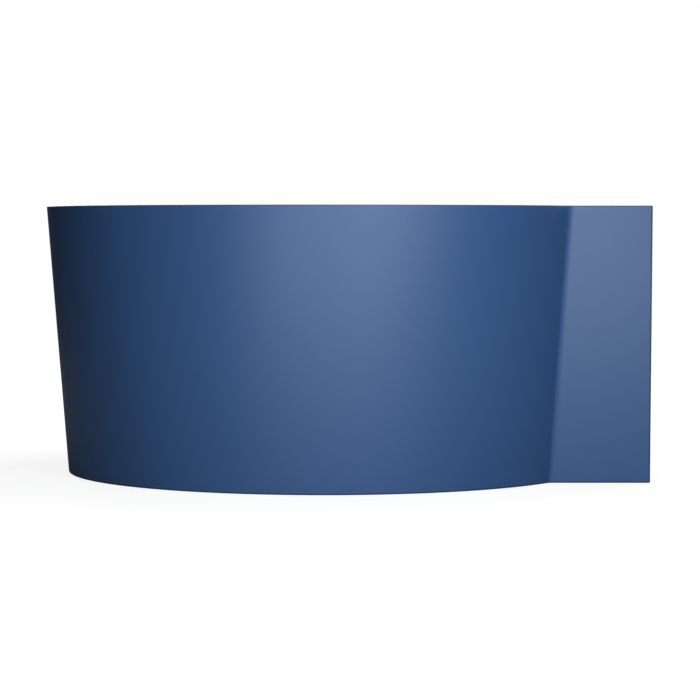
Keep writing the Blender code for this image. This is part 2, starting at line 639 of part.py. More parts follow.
def make_waste_body():
    spot = (DRAIN_REACH, 0.0, 0.0)
    along = (0.0, 0.0, PIPE_AXIS)
    bottom = PIPE_AXIS - WASTE_SUMP
    outside = [
        (0.0, WASTE_TOP),
        (WASTE_FLANGE_RADIUS, WASTE_TOP),
        (WASTE_FLANGE_RADIUS, WASTE_TOP - WASTE_FLANGE_THICKNESS),
        (WASTE_BODY_RADIUS, WASTE_TOP - WASTE_FLANGE_THICKNESS),
        (WASTE_BODY_RADIUS, bottom),
        (0.0, bottom),
    ]
    body = turned("waste_body", outside, PLASTIC, DIAGONAL, spot)
    spigot = rod(SOCKET_RADIUS, DRAIN_REACH, WASTE_MOUTH)
    shape(body, turned("waste_spigot_tool", spigot, None, DIAGONAL, along, ALONG_DIAGONAL), "UNION")
    stop_start = DRAIN_REACH + CABLE_STOP_START
    half = CABLE_STOP_SIZE / 2
    stop_level = PIPE_AXIS + CABLE_STOP_RISE
    stop = block(
        "cable_stop_tool",
        (stop_start, SOCKET_RADIUS / 2, stop_level - half),
        (stop_start + CABLE_STOP_LENGTH, CABLE_STOP_PLACE + half, stop_level + half),
        None,
        DIAGONAL,
    )
    shape(body, stop, "UNION")
    inner = WASTE_BODY_RADIUS - WASTE_BODY_WALL
    cavity = rod(inner, bottom + WASTE_BODY_WALL, WASTE_TOP + WASTE_BODY_WALL)
    shape(body, turned("waste_cavity_cutter", cavity, None, DIAGONAL, spot))
    pin_hole = rod(LIFT_PIN_RADIUS + GAP, 0.0, LIFT_CRANK_PLACE)
    shape(body, turned("lift_pin_hole_cutter", pin_hole, None, LIFT_AXIS, rotation=ACROSS_DIAGONAL, steps=12))
    bore = rod(SOCKET_BORE, DRAIN_REACH, WASTE_MOUTH + SOCKET_DEPTH)
    shape(body, turned("waste_bore_cutter", bore, None, DIAGONAL, along, ALONG_DIAGONAL))


def make_plug():
    spot = (DRAIN_REACH, 0.0, 0.0)
    top = PLUG_UNDERSIDE + PLUG_EDGE
    plug = [
        (0.0, top + PLUG_CROWN),
        (PLUG_RADIUS / 2, top + 0.75 * PLUG_CROWN),
        (PLUG_RADIUS, top),
        (PLUG_RADIUS, PLUG_UNDERSIDE),
        (PLUG_STEM_RADIUS, PLUG_UNDERSIDE),
        (PLUG_STEM_RADIUS, STEM_END),
        (0.0, STEM_END),
    ]
    turned("plug", plug, CHROME, DIAGONAL, spot)
    seal = ring(PLUG_SEAL_INNER_RADIUS, PLUG_SEAL_OUTER_RADIUS, FLANGE_TOP + GAP, PLUG_UNDERSIDE - GAP)
    turned("plug_seal", seal, RUBBER, DIAGONAL, spot)


def make_lift_shaft():
    """A pin across the waste body, with a finger under the plug's stem and a crank for the cable outside."""
    crank_end = LIFT_CRANK_PLACE + LIFT_CRANK_THICKNESS / 2
    finger_half = LIFT_TIP_RADIUS
    pin = rod(LIFT_PIN_RADIUS, -2 * finger_half, crank_end)
    shaft = turned("lift_shaft", pin, STEEL, LIFT_AXIS, rotation=ACROSS_DIAGONAL, steps=12)
    lean = (0.0, -LIFT_ANGLE, 0.0)
    arm = LIFT_PIVOT_OFFSET / math.cos(LIFT_ANGLE)
    finger = block(
        "lift_finger_tool",
        (-arm, -finger_half, -LIFT_PIN_RADIUS),
        (LIFT_PIN_RADIUS, finger_half, LIFT_PIN_RADIUS),
        None,
        LIFT_AXIS,
        rotation=lean,
    )
    tip_spot = (-LIFT_PIVOT_OFFSET, 0.0, -PLUG_LIFT / 2)
    tip = rod(LIFT_TIP_RADIUS, -0.9 * finger_half, 0.9 * finger_half)
    crank = block(
        "lift_crank_tool",
        (-LIFT_CRANK_WIDTH / 2, LIFT_CRANK_PLACE - LIFT_CRANK_THICKNESS / 2, -LIFT_CRANK_WIDTH / 2),
        (LIFT_CRANK_WIDTH / 2, crank_end - GAP, LIFT_CRANK_LENGTH),
        None,
        LIFT_AXIS,
        rotation=lean,
    )
    shape(shaft, finger, "UNION")
    shape(shaft, turned("lift_tip_tool", tip, None, LIFT_AXIS, tip_spot, ACROSS_DIAGONAL, 12), "UNION")
    shape(shaft, crank, "UNION")


def make_nut(name, pipe, socket, location, rotation=(0.0, 0.0, 0.0)):
    """A union nut over a socket's mouth, which lies at its zero level and faces up."""
    outer = socket + NUT_WALL + GAP
    section = [
        (outer, GAP + NUT_LIP),
        (outer, -NUT_SKIRT),
        (socket + GAP, -NUT_SKIRT),
        (socket + GAP, GAP),
        (pipe + GAP, GAP),
        (pipe + GAP, GAP + NUT_LIP),
    ]
    turned(name, section, PLASTIC, DIAGONAL, location, rotation)


def make_drain_line():
    along = (0.0, 0.0, PIPE_AXIS)
    tee_low = TEE_REACH - TEE_HALF_LENGTH
    tee_high = TEE_REACH + TEE_HALF_LENGTH
    pipe = ring(PIPE_BORE, PIPE_RADIUS, WASTE_MOUTH - SOCKET_DEPTH, tee_low + SOCKET_DEPTH)
    turned("waste_pipe", pipe, PLASTIC, DIAGONAL, along, ALONG_DIAGONAL)

    tee = turned("drain_tee", rod(SOCKET_RADIUS, tee_low, tee_high), PLASTIC, DIAGONAL, along, ALONG_DIAGONAL)
    branch_spot = (TEE_REACH, 0.0, 0.0)
    branch = rod(OVERFLOW_SOCKET_RADIUS, PIPE_AXIS, BRANCH_TOP)
    shape(tee, turned("tee_branch_tool", branch, None, DIAGONAL, branch_spot), "UNION")
    run = rod(SOCKET_BORE, tee_low - SOCKET_DEPTH, tee_high + SOCKET_DEPTH)
    shape(tee, turned("tee_run_cutter", run, None, DIAGONAL, along, ALONG_DIAGONAL))
    fall = rod(OVERFLOW_SOCKET_BORE, PIPE_AXIS, BRANCH_TOP + SOCKET_DEPTH)
    shape(tee, turned("tee_branch_cutter", fall, None, DIAGONAL, branch_spot))

    trap_spot = (TRAP_REACH, 0.0, 0.0)
    bottom = PIPE_AXIS - TRAP_SUMP
    trap = turned("trap_body", rod(TRAP_RADIUS, bottom, TRAP_TOP), PLASTIC, DIAGONAL, trap_spot)
    inlet_start = tee_high - SOCKET_DEPTH
    inlet = rod(PIPE_RADIUS, inlet_start, TRAP_REACH)
    shape(trap, turned("trap_inlet_tool", inlet, None, DIAGONAL, along, ALONG_DIAGONAL), "UNION")
    outlet = rod(SOCKET_RADIUS, TRAP_REACH, TRAP_MOUTH)
    shape(trap, turned("trap_outlet_tool", outlet, None, DIAGONAL, along, ALONG_DIAGONAL), "UNION")
    cavity = rod(TRAP_RADIUS - TRAP_WALL, bottom + TRAP_WALL, TRAP_TOP + TRAP_WALL)
    shape(trap, turned("trap_cavity_cutter", cavity, None, DIAGONAL, trap_spot))
    inlet_bore = rod(PIPE_BORE, inlet_start - SOCKET_DEPTH, TRAP_REACH)
    shape(trap, turned("trap_inlet_cutter", inlet_bore, None, DIAGONAL, along, ALONG_DIAGONAL))
    outlet_bore = rod(SOCKET_BORE, TRAP_REACH, TRAP_MOUTH + SOCKET_DEPTH)
    outlet_cutter = turned("trap_outlet_cutter", outlet_bore, None, DIAGONAL, along, ALONG_DIAGONAL)
    shape(trap, outlet_cutter, solver="MANIFOLD")
    cap_low = TRAP_TOP + GAP
    plug_radius = TRAP_RADIUS - TRAP_WALL - GAP
    cap = [
        (0.0, cap_low + TRAP_CAP_THICKNESS),
        (TRAP_CAP_RADIUS, cap_low + TRAP_CAP_THICKNESS),
        (TRAP_CAP_RADIUS, cap_low),
        (plug_radius, cap_low),
        (plug_radius, TRAP_TOP - TRAP_CAP_PLUG),
        (0.0, TRAP_TOP - TRAP_CAP_PLUG),
    ]
    turned("trap_cap", cap, PLASTIC, DIAGONAL, trap_spot)
    tail = ring(PIPE_BORE, PIPE_RADIUS, TRAP_MOUTH - SOCKET_DEPTH, OUTLET_END)
    turned("outlet_pipe", tail, PLASTIC, DIAGONAL, along, ALONG_DIAGONAL)

    make_nut("waste_nut", PIPE_RADIUS, SOCKET_RADIUS, (WASTE_MOUTH, 0.0, PIPE_AXIS), ALONG_DIAGONAL)
    make_nut("tee_inlet_nut", PIPE_RADIUS, SOCKET_RADIUS, (tee_low, 0.0, PIPE_AXIS), BACK_ALONG_DIAGONAL)
    make_nut("trap_inlet_nut", PIPE_RADIUS, SOCKET_RADIUS, (tee_high, 0.0, PIPE_AXIS), ALONG_DIAGONAL)
    make_nut("outlet_nut", PIPE_RADIUS, SOCKET_RADIUS, (TRAP_MOUTH, 0.0, PIPE_AXIS), ALONG_DIAGONAL)


def make_overflow():
    plate_top = OVERFLOW_SEAT + OVERFLOW_PLATE_THICKNESS
    neck_end = -OVERFLOW_NECK_LENGTH
    face = [
        (KNOB_SPINDLE_RADIUS + GAP, plate_top),
        (OVERFLOW_PLATE_RADIUS, plate_top),
        (OVERFLOW_PLATE_RADIUS, OVERFLOW_SEAT),
        (OVERFLOW_NECK_RADIUS, OVERFLOW_SEAT),
        (OVERFLOW_NECK_RADIUS, neck_end),
        (OVERFLOW_NECK_BORE_RADIUS, neck_end),
        (OVERFLOW_NECK_BORE_RADIUS, OVERFLOW_SEAT),
        (KNOB_SPINDLE_RADIUS + GAP, OVERFLOW_SEAT),
    ]
    plate = turned("overflow_plate", face, CHROME, OVERFLOW)
    for index in range(OVERFLOW_SLOTS):
        angle = math.tau * (index + 0.5) / OVERFLOW_SLOTS
        spot = (OVERFLOW_SLOT_CIRCLE * math.cos(angle), OVERFLOW_SLOT_CIRCLE * math.sin(angle), 0.0)
        slot = rod(OVERFLOW_SLOT_RADIUS, OVERFLOW_SEAT / 2, plate_top + OVERFLOW_SEAT)
        shape(plate, turned("overflow_slot_cutter_%d" % index, slot, None, OVERFLOW, spot, steps=12))

    back = plate_top + KNOB_STANDOFF
    knob = [
        (0.0, back + KNOB_THICKNESS),
        (0.7 * KNOB_RADIUS, back + KNOB_THICKNESS),
        (KNOB_RADIUS, back + KNOB_THICKNESS / 2),
        (KNOB_RADIUS, back),
        (KNOB_SPINDLE_RADIUS, back),
        (KNOB_SPINDLE_RADIUS, -KNOB_SPINDLE_LENGTH),
        (0.0, -KNOB_SPINDLE_LENGTH),
    ]
    turned("overflow_knob", knob, CHROME, OVERFLOW)

    gasket_outer = OVERFLOW_FLANGE_RADIUS - GASKET_INSET
    gasket = ring(OVERFLOW_NECK_RADIUS + GAP, gasket_outer, OVERFLOW_BACK + GAP, -SHELL - GAP)
    turned("overflow_gasket", gasket, RUBBER, OVERFLOW)

    flange_back = OVERFLOW_BACK - OVERFLOW_FLANGE_THICKNESS
    end = OVERFLOW_BACK - OVERFLOW_BODY_LENGTH
    outside = [
        (0.0, OVERFLOW_BACK),
        (OVERFLOW_FLANGE_RADIUS, OVERFLOW_BACK),
        (OVERFLOW_FLANGE_RADIUS, flange_back),
        (OVERFLOW_BODY_RADIUS, flange_back),
        (OVERFLOW_BODY_RADIUS, end),
        (0.0, end),
    ]
    elbow = turned("overflow_elbow", outside, PLASTIC, OVERFLOW)
    spot = (TEE_REACH, 0.0, 0.0)
    spigot = rod(OVERFLOW_SOCKET_RADIUS, ELBOW_MOUTH, OVERFLOW_LEVEL)
    shape(elbow, turned("elbow_spigot_tool", spigot, None, DIAGONAL, spot), "UNION")
    boss_spot = (TEE_REACH, CABLE_BOSS_PLACE, 0.0)
    boss = rod(CABLE_BOSS_RADIUS, CABLE_BOSS_END, OVERFLOW_LEVEL)
    shape(elbow, turned("cable_boss_tool", boss, None, DIAGONAL, boss_spot, steps=12), "UNION")
    inner = OVERFLOW_BODY_RADIUS - OVERFLOW_BODY_WALL
    cavity = rod(inner, end + OVERFLOW_BODY_WALL, OVERFLOW_BACK + OVERFLOW_BODY_WALL)
    shape(elbow, turned("elbow_cavity_cutter", cavity, None, OVERFLOW))
    fall = rod(OVERFLOW_SOCKET_BORE, ELBOW_MOUTH - SOCKET_DEPTH, OVERFLOW_LEVEL - OVERFLOW_BODY_WALL)
    shape(elbow, turned("elbow_bore_cutter", fall, None, DIAGONAL, spot))

    bore = OVERFLOW_PIPE_RADIUS - PIPE_WALL
    pipe = ring(bore, OVERFLOW_PIPE_RADIUS, BRANCH_TOP - SOCKET_DEPTH, ELBOW_MOUTH + SOCKET_DEPTH)
    turned("overflow_pipe", pipe, PLASTIC, DIAGONAL, spot)
    top_spot = (TEE_REACH, 0.0, ELBOW_MOUTH)
    low_spot = (TEE_REACH, 0.0, BRANCH_TOP)
    make_nut("overflow_top_nut", OVERFLOW_PIPE_RADIUS, OVERFLOW_SOCKET_RADIUS, top_spot, UPSIDE_DOWN)
    make_nut("overflow_low_nut", OVERFLOW_PIPE_RADIUS, OVERFLOW_SOCKET_RADIUS, low_spot)


def smooth(points, spacing):
    """Evenly spread points on a smooth curve through a route's own points."""
    ends = [2 * points[0] - points[1]] + points + [2 * points[-1] - points[-2]]
    route = []
    for index in range(1, len(ends) - 2):
        before, start, end, after = ends[index - 1:index + 3]
        count = max(1, round((end - start).length / spacing))
        for step in range(count):
            t = step / count
            bend = 2 * start + (end - before) * t
            bend += (2 * before - 5 * start + 4 * end - after) * t * t
            bend += (3 * start - before - 3 * end + after) * t ** 3
            route.append(bend / 2)
    return route + [points[-1]]


def make_control_cable():
    """The pull cable in its sheath, from the overflow's boss to the stop on the waste body."""
    top = CABLE_BOSS_END - GAP
    stop_end = DRAIN_REACH + CABLE_STOP_START + CABLE_STOP_LENGTH + GAP
    level = PIPE_AXIS + CABLE_STOP_RISE
    run = TEE_REACH - stop_end
    points = [
        Vector((TEE_REACH, CABLE_BOSS_PLACE, top)),
        Vector((TEE_REACH, CABLE_BOSS_PLACE, top - 0.03)),
        Vector((TEE_REACH, 0.030, level + 0.26)),
        Vector((TEE_REACH - 0.003, 0.032, level + 0.17)),
        Vector((TEE_REACH - 0.016, 0.034, level + 0.09)),
        Vector((TEE_REACH - 0.3 * run, 0.036, level + 0.03)),
        Vector((TEE_REACH - 0.6 * run, 0.036, level + 0.005)),
        Vector((stop_end + 0.03, CABLE_STOP_PLACE, level)),
        Vector((stop_end, CABLE_STOP_PLACE, level)),
    ]
    curve = bpy.data.curves.new("control_cable", "CURVE")
    curve.dimensions = "3D"
    curve.bevel_depth = CABLE_RADIUS
    curve.bevel_resolution = 2
    curve.use_fill_caps = True
    route = smooth(points, CABLE_SPACING)
    spline = curve.splines.new("POLY")
    spline.points.add(len(route) - 1)
    for point, spot in zip(spline.points, route):
        point.co = (*spot, 1.0)
    place("control_cable", curve, BLACK, DIAGONAL)


make_skirt()
make_basin()
make_base_board()
make_frame()
make_deck_timbers()
make_skirt_brackets()
make_feet()
make_drain()
make_waste_body()
make_plug()
make_lift_shaft()
make_drain_line()
make_overflow()
make_control_cable()

for piece in PARTS.objects:
    if piece.type == "MESH":
        piece.data.shade_smooth()
        piece.data.set_sharp_from_angle(angle=math.radians(30))
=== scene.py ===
# %% [markdown]
# # A corner bath, dressed over its solids
# The bath's solids carry its true sizes and its joints. This lesson loads them as a fixed frame, models a
# finer piece for each one by hand, and gives every surface a finish made of nodes. The solids could be
# shown as they are, but they are faceted and square-edged, so each is hidden behind a piece that fills the
# same space.

# %% Load the solids
import json
import math

import bmesh
import bpy
from mathutils import Matrix, Vector


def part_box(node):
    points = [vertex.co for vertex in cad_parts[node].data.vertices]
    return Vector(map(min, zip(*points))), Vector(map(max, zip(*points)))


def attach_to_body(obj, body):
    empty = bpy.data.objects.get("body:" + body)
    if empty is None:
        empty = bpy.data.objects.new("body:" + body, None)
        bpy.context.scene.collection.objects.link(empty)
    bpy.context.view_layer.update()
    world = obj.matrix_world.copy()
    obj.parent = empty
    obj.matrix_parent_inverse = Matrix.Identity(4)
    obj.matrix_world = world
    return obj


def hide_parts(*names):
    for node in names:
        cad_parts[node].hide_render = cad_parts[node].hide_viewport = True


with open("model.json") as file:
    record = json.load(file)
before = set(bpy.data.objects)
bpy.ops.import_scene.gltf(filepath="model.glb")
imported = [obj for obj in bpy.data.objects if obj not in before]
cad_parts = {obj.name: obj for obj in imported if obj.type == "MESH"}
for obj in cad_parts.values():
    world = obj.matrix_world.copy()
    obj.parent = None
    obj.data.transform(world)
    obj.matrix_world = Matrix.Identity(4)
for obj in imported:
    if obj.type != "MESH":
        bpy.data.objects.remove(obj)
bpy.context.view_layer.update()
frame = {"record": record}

RECORD = frame["record"]
BODY_OF = {node: body for body, nodes in RECORD["behaviour"]["bodies"].items() for node in nodes}

# %% [markdown]
# ## Camera
# The picture is a long-lens shot from straight in front, at about the height of the rim, tilted down by
# less than three degrees. A camera could be aimed at the bath by eye, but its place here comes from the
# bath's own edges: the rim shows as a flat curve and the foot as a deeper one, and only one height and
# distance gives both.

# %% Camera
PICTURE_SIDE = 700
SENSOR_WIDTH = 36.0
FOCAL_LENGTH_IN_PIXELS = 2560.7
CAMERA_PLACE = (0.0192, -5.944, 0.562)
CAMERA_TILT = math.radians(2.785)
bpy.ops.object.select_all(action="DESELECT")
bpy.ops.object.camera_add(location=CAMERA_PLACE, rotation=(math.pi / 2 - CAMERA_TILT, 0.0, 0.0))
camera = bpy.context.object
camera.name = "front_camera"
camera.data.sensor_width = SENSOR_WIDTH
camera.data.lens = FOCAL_LENGTH_IN_PIXELS / PICTURE_SIDE * SENSOR_WIDTH
bpy.context.scene.camera = camera
print("lens", round(camera.data.lens, 1), "mm")

# %% [markdown]
# ## Finishes
# Every finish is a small tree of nodes on the piece's own coordinates, in metres, so its grain has a real
# size. Long chains of Math nodes are hard to read, so a socket is wrapped in a class whose operators add
# the nodes: an expression such as 1 - mask then draws itself. Any other node comes from one method.


# %% Trees of nodes
class Strand:
    """A socket in a tree of nodes that can be added, multiplied and so on."""

    def __init__(self, tree, socket):
        self.tree = tree
        self.socket = socket

    def reckon(self, operation, first, second):
        return self.tree.node("ShaderNodeMath", {"operation": operation}, {0: first, 1: second})

    def __add__(self, other):
        return self.reckon("ADD", self, other)

    def __radd__(self, other):
        return self.reckon("ADD", other, self)

    def __sub__(self, other):
        return self.reckon("SUBTRACT", self, other)

    def __rsub__(self, other):
        return self.reckon("SUBTRACT", other, self)

    def __mul__(self, other):
        return self.reckon("MULTIPLY", self, other)

    def __rmul__(self, other):
        return self.reckon("MULTIPLY", other, self)

    def __pow__(self, other):
        return self.reckon("POWER", self, other)

    def __rpow__(self, other):
        return self.reckon("POWER", other, self)


class NodeTree:
    """A tree that is built up node by node."""

    def __init__(self, tree):
        self.tree = tree

    def node(self, kind, settings=None, sockets=None, output=0):
        """Adds a node, with its settings first and then the values or links of its sockets."""
        made = self.tree.nodes.new(kind)
        for label, value in (settings or {}).items():
            if label == "stops":
                for stop, (place, colour) in zip(made.color_ramp.elements, value):
                    stop.position = place
                    stop.color = (*colour, 1.0)
            else:
                setattr(made, label, value)
        for label, value in (sockets or {}).items():
            self.plug(value, made.inputs[label])
        return Strand(self, made.outputs[output])

    def plug(self, value, socket):
        if isinstance(value, Strand):
            self.tree.links.new(value.socket, socket)
        else:
            socket.default_value = value


# %% [markdown]
# A finish is such a tree round a Principled shader. Its short methods stand for the nodes that every finish
# here uses: the piece's coordinates, noise, cells, a stretch of one range of values onto another, colours
# and bump. Most of a noise lies in its middle band, so that band is what is usually stretched.

# %% Finish maker
NOISE_BAND = (0.3, 0.7)
MIX_SHARE, MIX_FIRST, MIX_SECOND, MIX_RESULT = 0, 6, 7, 2


class Finish(NodeTree):
    """A material whose nodes are added one by one round a Principled shader."""

    def __init__(self, name, **constants):
        self.material = bpy.data.materials.new(name)
        self.material.use_nodes = True
        super().__init__(self.material.node_tree)
        self.shader = self.tree.nodes["Principled BSDF"]
        self.feed(**constants)

    def feed(self, **values):
        """Sets or links sockets of the shader, which are named with underscores."""
        for label, value in values.items():
            self.plug(value, self.shader.inputs[label.replace("_", " ").title().replace("Ior", "IOR")])

    def place(self, turned=0.0, stretch=(1.0, 1.0, 1.0)):
        """The piece's own coordinates, turned about Z and stretched to a pattern's scale."""
        spot = self.node("ShaderNodeTexCoord", output="Object")
        sockets = {"Vector": spot, "Rotation": (0.0, 0.0, turned), "Scale": stretch}
        return self.node("ShaderNodeMapping", {}, sockets)

    def noise(self, spot, scale=1.0, detail=3.0, distortion=0.0):
        sockets = {"Vector": spot, "Scale": scale, "Detail": detail, "Distortion": distortion}
        return self.node("ShaderNodeTexNoise", {}, sockets)

    def cells(self, spot, scale, output):
        return self.node("ShaderNodeTexVoronoi", {}, {"Vector": spot, "Scale": scale}, output)

    def cell_tones(self, spot, scale):
        """One grey for each cell."""
        return self.node("ShaderNodeRGBToBW", {}, {"Color": self.cells(spot, scale, "Color")})

    def span(self, value, given, wanted=(0.0, 1.0)):
        """Stretches a range of values onto another and stops at its ends."""
        labels = ("Value", "From Min", "From Max", "To Min", "To Max")
        return self.node("ShaderNodeMapRange", {}, dict(zip(labels, (value, *given, *wanted))))

    def ramp(self, value, *stops):
        return self.node("ShaderNodeValToRGB", {"stops": stops}, {"Fac": value})

    def mixed(self, share, *colours):
        """Mixes two colours, each of which is given as numbers or comes from a socket."""
        first, second = [colour if isinstance(colour, Strand) else (*colour, 1.0) for colour in colours]
        sockets = {MIX_SHARE: share, MIX_FIRST: first, MIX_SECOND: second}
        return self.node("ShaderNodeMix", {"data_type": "RGBA"}, sockets, MIX_RESULT)

    def bump(self, height, distance, strength):
        sockets = {"Height": height, "Distance": distance, "Strength": strength}
        self.feed(normal=self.node("ShaderNodeBump", {}, sockets))


# %% [markdown]
# ### Blue satin sheet
# The skirt is a pressed sheet, coloured right through, with a satin face. Up close such a face has a faint
# orange peel and a slight unevenness of gloss, but from a step away it reads as one calm blue. So the
# colour drifts by a few hundredths only, the peel is a bump a hundredth of a millimetre high, and the sheen
# takes a breath of the blue. Along the foot and at the two wall ends a darker and duller line a few
# millimetres wide is painted in: painted shade where the rounded edges turn away from the light. The line
# could be a piece of its own, but a mask on the sheet's coordinates is enough.

# %% Blue satin sheet
SKIRT_BLUE = (0.0228, 0.0672, 0.179)
SKIRT_BLUE_DEEP = (0.0222, 0.0656, 0.174)
SHEEN_TINT = (0.90, 0.95, 1.0, 1.0)
# Painted shade: the darker blue of the line along the foot and the two wall ends.
EDGE_SHADE_BLUE = (0.014, 0.031, 0.070)
EDGE_SHADE_DULLER = 0.2
EDGE_SHADE_FULL = 0.0025
EDGE_SHADE_FADED = 0.0045
WALL_PLACE = 0.675


def blue_satin():
    finish = Finish("blue_satin_sheet", ior=1.46, specular_tint=SHEEN_TINT)
    spot = finish.place()
    drift = finish.noise(spot, scale=3.0, detail=2.0)
    speck = finish.noise(spot, scale=900.0, detail=1.0)
    peel = finish.noise(spot, scale=260.0, detail=2.0)
    shade = finish.span(drift * 0.8 + speck * 0.2, NOISE_BAND)
    across, along_it, height = [
        finish.node("ShaderNodeSeparateXYZ", {}, {"Vector": spot}, axis) for axis in "XYZ"]
    near_wall = (WALL_PLACE - EDGE_SHADE_FADED, WALL_PLACE - EDGE_SHADE_FULL)
    # Painted shade: a mask for a darker, duller line along the foot and the two wall ends.
    foot = finish.span(height, (EDGE_SHADE_FULL, EDGE_SHADE_FADED), (1.0, 0.0))
    painted_edge_shade = finish.span(foot + finish.span(across, near_wall) + finish.span(along_it, near_wall), (0.0, 1.0))
    face = finish.mixed(shade, SKIRT_BLUE_DEEP, SKIRT_BLUE)
    gloss = finish.span(drift * 0.6 + peel * 0.4, NOISE_BAND, (0.48, 0.52))
    finish.feed(base_color=finish.mixed(painted_edge_shade, face, EDGE_SHADE_BLUE), roughness=gloss + painted_edge_shade * EDGE_SHADE_DULLER)
    finish.bump(peel + speck * 0.3, distance=0.00003, strength=0.5)
    return finish.material


BLUE = blue_satin()
print(BLUE.name)

# %% [markdown]
# ### White gloss and raw glass fibre
# The bowl is a white sheet, drawn over a mould and stiffened behind with chopped glass strands in resin.
# The face is glossy and almost flawless, and the back is straw-coloured, with short strands lying every
# way. A stretched noise gives the strands: three layers, turned against each other, are laid together.

# %% White gloss and raw glass fibre
WHITE_GLAZE = (0.84, 0.85, 0.86)
WHITE_GLAZE_WARM = (0.82, 0.825, 0.82)
RESIN_LIGHT = (0.66, 0.62, 0.48)
RESIN_DARK = (0.47, 0.43, 0.30)
STRAND_HEADINGS = (0.4, 1.9, 2.9)
STRAND_STRETCH = (90.0, 900.0, 400.0)


def white_gloss():
    finish = Finish("white_gloss_sheet", ior=1.49, coat_weight=0.3, coat_roughness=0.04)
    spot = finish.place()
    drift = finish.noise(spot, scale=2.2, detail=2.0)
    film = finish.noise(spot, scale=14.0, detail=4.0, distortion=0.8)
    finish.feed(base_color=finish.mixed(drift, WHITE_GLAZE_WARM, WHITE_GLAZE),
                roughness=finish.span(film, (0.35, 0.75), (0.10, 0.17)))
    finish.bump(finish.noise(spot, scale=45.0, detail=1.0), distance=0.00002, strength=0.4)
    return finish.material


def raw_glass_fibre():
    finish = Finish("raw_glass_fibre", ior=1.5)
    lays = [finish.place(heading, STRAND_STRETCH) for heading in STRAND_HEADINGS]
    strands = [finish.noise(lay, detail=2.0, distortion=0.4) for lay in lays]
    lay = finish.span(strands[0] * 0.4 + strands[1] * 0.35 + strands[2] * 0.25, (0.38, 0.62))
    wet = finish.noise(finish.place(), scale=9.0)
    finish.feed(base_color=finish.ramp(lay * 0.7 + wet * 0.3, (0.2, RESIN_DARK), (0.8, RESIN_LIGHT)),
                roughness=finish.span(wet + lay * 0.2, (0.4, 0.8), (0.35, 0.62)))
    finish.bump(lay + wet * 0.5, distance=0.0005, strength=0.8)
    return finish.material


WHITE = white_gloss()
RAW = raw_glass_fibre()
print(WHITE.name, RAW.name)

# %% [markdown]
# ### Timber and board
# The battens and the bearer are sawn softwood, whose growth rings show as long bands along the piece, and
# the disc under the bowl is flake board. For the softwood a noise is stretched along the grain and its
# value is folded into bands. Each piece runs its own way, so the pattern is turned to the piece's heading.
# The flake board is a set of cells, each with its own tone.

# %% Timber and board
SPRING_WOOD = (0.68, 0.49, 0.28)
SUMMER_WOOD = (0.45, 0.27, 0.12)
GROWTH_STRETCH = (1.2, 26.0, 26.0)
GROWTH_BANDS = 9.0
FIBRE_STRETCH = (14.0, 700.0, 700.0)
FLAKE_PALE = (0.62, 0.46, 0.27)
FLAKE_DARK = (0.40, 0.26, 0.13)
FLAKE_HEADING = 0.7
FLAKE_STRETCH = (1.0, 0.45, 1.0)
FLAKE_SCALE = 70.0


def softwood(name, heading):
    finish = Finish(name, ior=1.4)
    growth = finish.noise(finish.place(-heading, GROWTH_STRETCH), scale=1.1, detail=2.0, distortion=0.3)
    fold = finish.node("ShaderNodeMath", {"operation": "PINGPONG"}, {0: growth * GROWTH_BANDS, 1: 1.0})
    fibre = finish.noise(finish.place(-heading, FIBRE_STRETCH), detail=2.0)
    tone = finish.span(fold ** 1.8 * 0.8 + fibre * 0.2, (0.05, 0.95))
    finish.feed(base_color=finish.ramp(tone, (0.1, SPRING_WOOD), (0.9, SUMMER_WOOD)),
                roughness=finish.span(fibre, NOISE_BAND, (0.62, 0.82)))
    finish.bump(fibre * 0.7 + fold * 0.3, distance=0.0004, strength=0.7)
    return finish.material


def flake_board():
    finish = Finish("flake_board", ior=1.4)
    spot = finish.place(FLAKE_HEADING, FLAKE_STRETCH)
    wander = finish.noise(finish.place(), scale=40.0, detail=2.0)
    tone = finish.cell_tones(spot, FLAKE_SCALE) * 0.75 + wander * 0.25
    finish.feed(base_color=finish.ramp(tone, (0.15, FLAKE_DARK), (0.85, FLAKE_PALE)),
                roughness=finish.span(wander, NOISE_BAND, (0.66, 0.84)))
    finish.bump(1.0 - finish.cells(spot, FLAKE_SCALE, "Distance"), distance=0.0005, strength=0.6)
    return finish.material


WOOD_TO_CORNER = softwood("softwood_across_the_corner", 0.75 * math.pi)
WOOD_ALONG_X = softwood("softwood_along_the_back", 0.0)
WOOD_ALONG_Y = softwood("softwood_along_the_right", math.pi / 2)
FLAKES = flake_board()
print(WOOD_TO_CORNER.name, WOOD_ALONG_X.name, WOOD_ALONG_Y.name, FLAKES.name)

# %% [markdown]
# ### Metals
# The frame's tubes are hot-dip zinc, whose crystals make a pattern of dull and bright patches a centimetre
# across. Nuts and spindles are bright plated steel with fine scratches, and what shows in the bowl is
# chrome. Each is as metallic in one place as in another, so only colour, gloss and bump change over it.

# %% Metals
ZINC_PALE = (0.60, 0.62, 0.64)
ZINC_DULL = (0.40, 0.42, 0.44)
CRYSTAL_SCALE = 95.0
STEEL_PALE = (0.66, 0.66, 0.64)
STEEL_DULL = (0.52, 0.53, 0.53)
SCRATCH_STRETCH = (300.0, 300.0, 2600.0)
CHROME_PALE = (0.82, 0.83, 0.85)
CHROME_DULL = (0.76, 0.77, 0.79)


def zinc():
    finish = Finish("zinc_coated_steel", metallic=0.85)
    spot = finish.place()
    crystal = finish.cell_tones(spot, CRYSTAL_SCALE)
    stain = finish.noise(spot, scale=22.0, detail=4.0)
    tone = crystal * 0.6 + stain * 0.4
    finish.feed(base_color=finish.ramp(tone, (0.25, ZINC_DULL), (0.75, ZINC_PALE)),
                roughness=finish.span(tone, (0.2, 0.8), (0.34, 0.52)))
    finish.bump(crystal * 0.4 + stain, distance=0.0001, strength=0.5)
    return finish.material


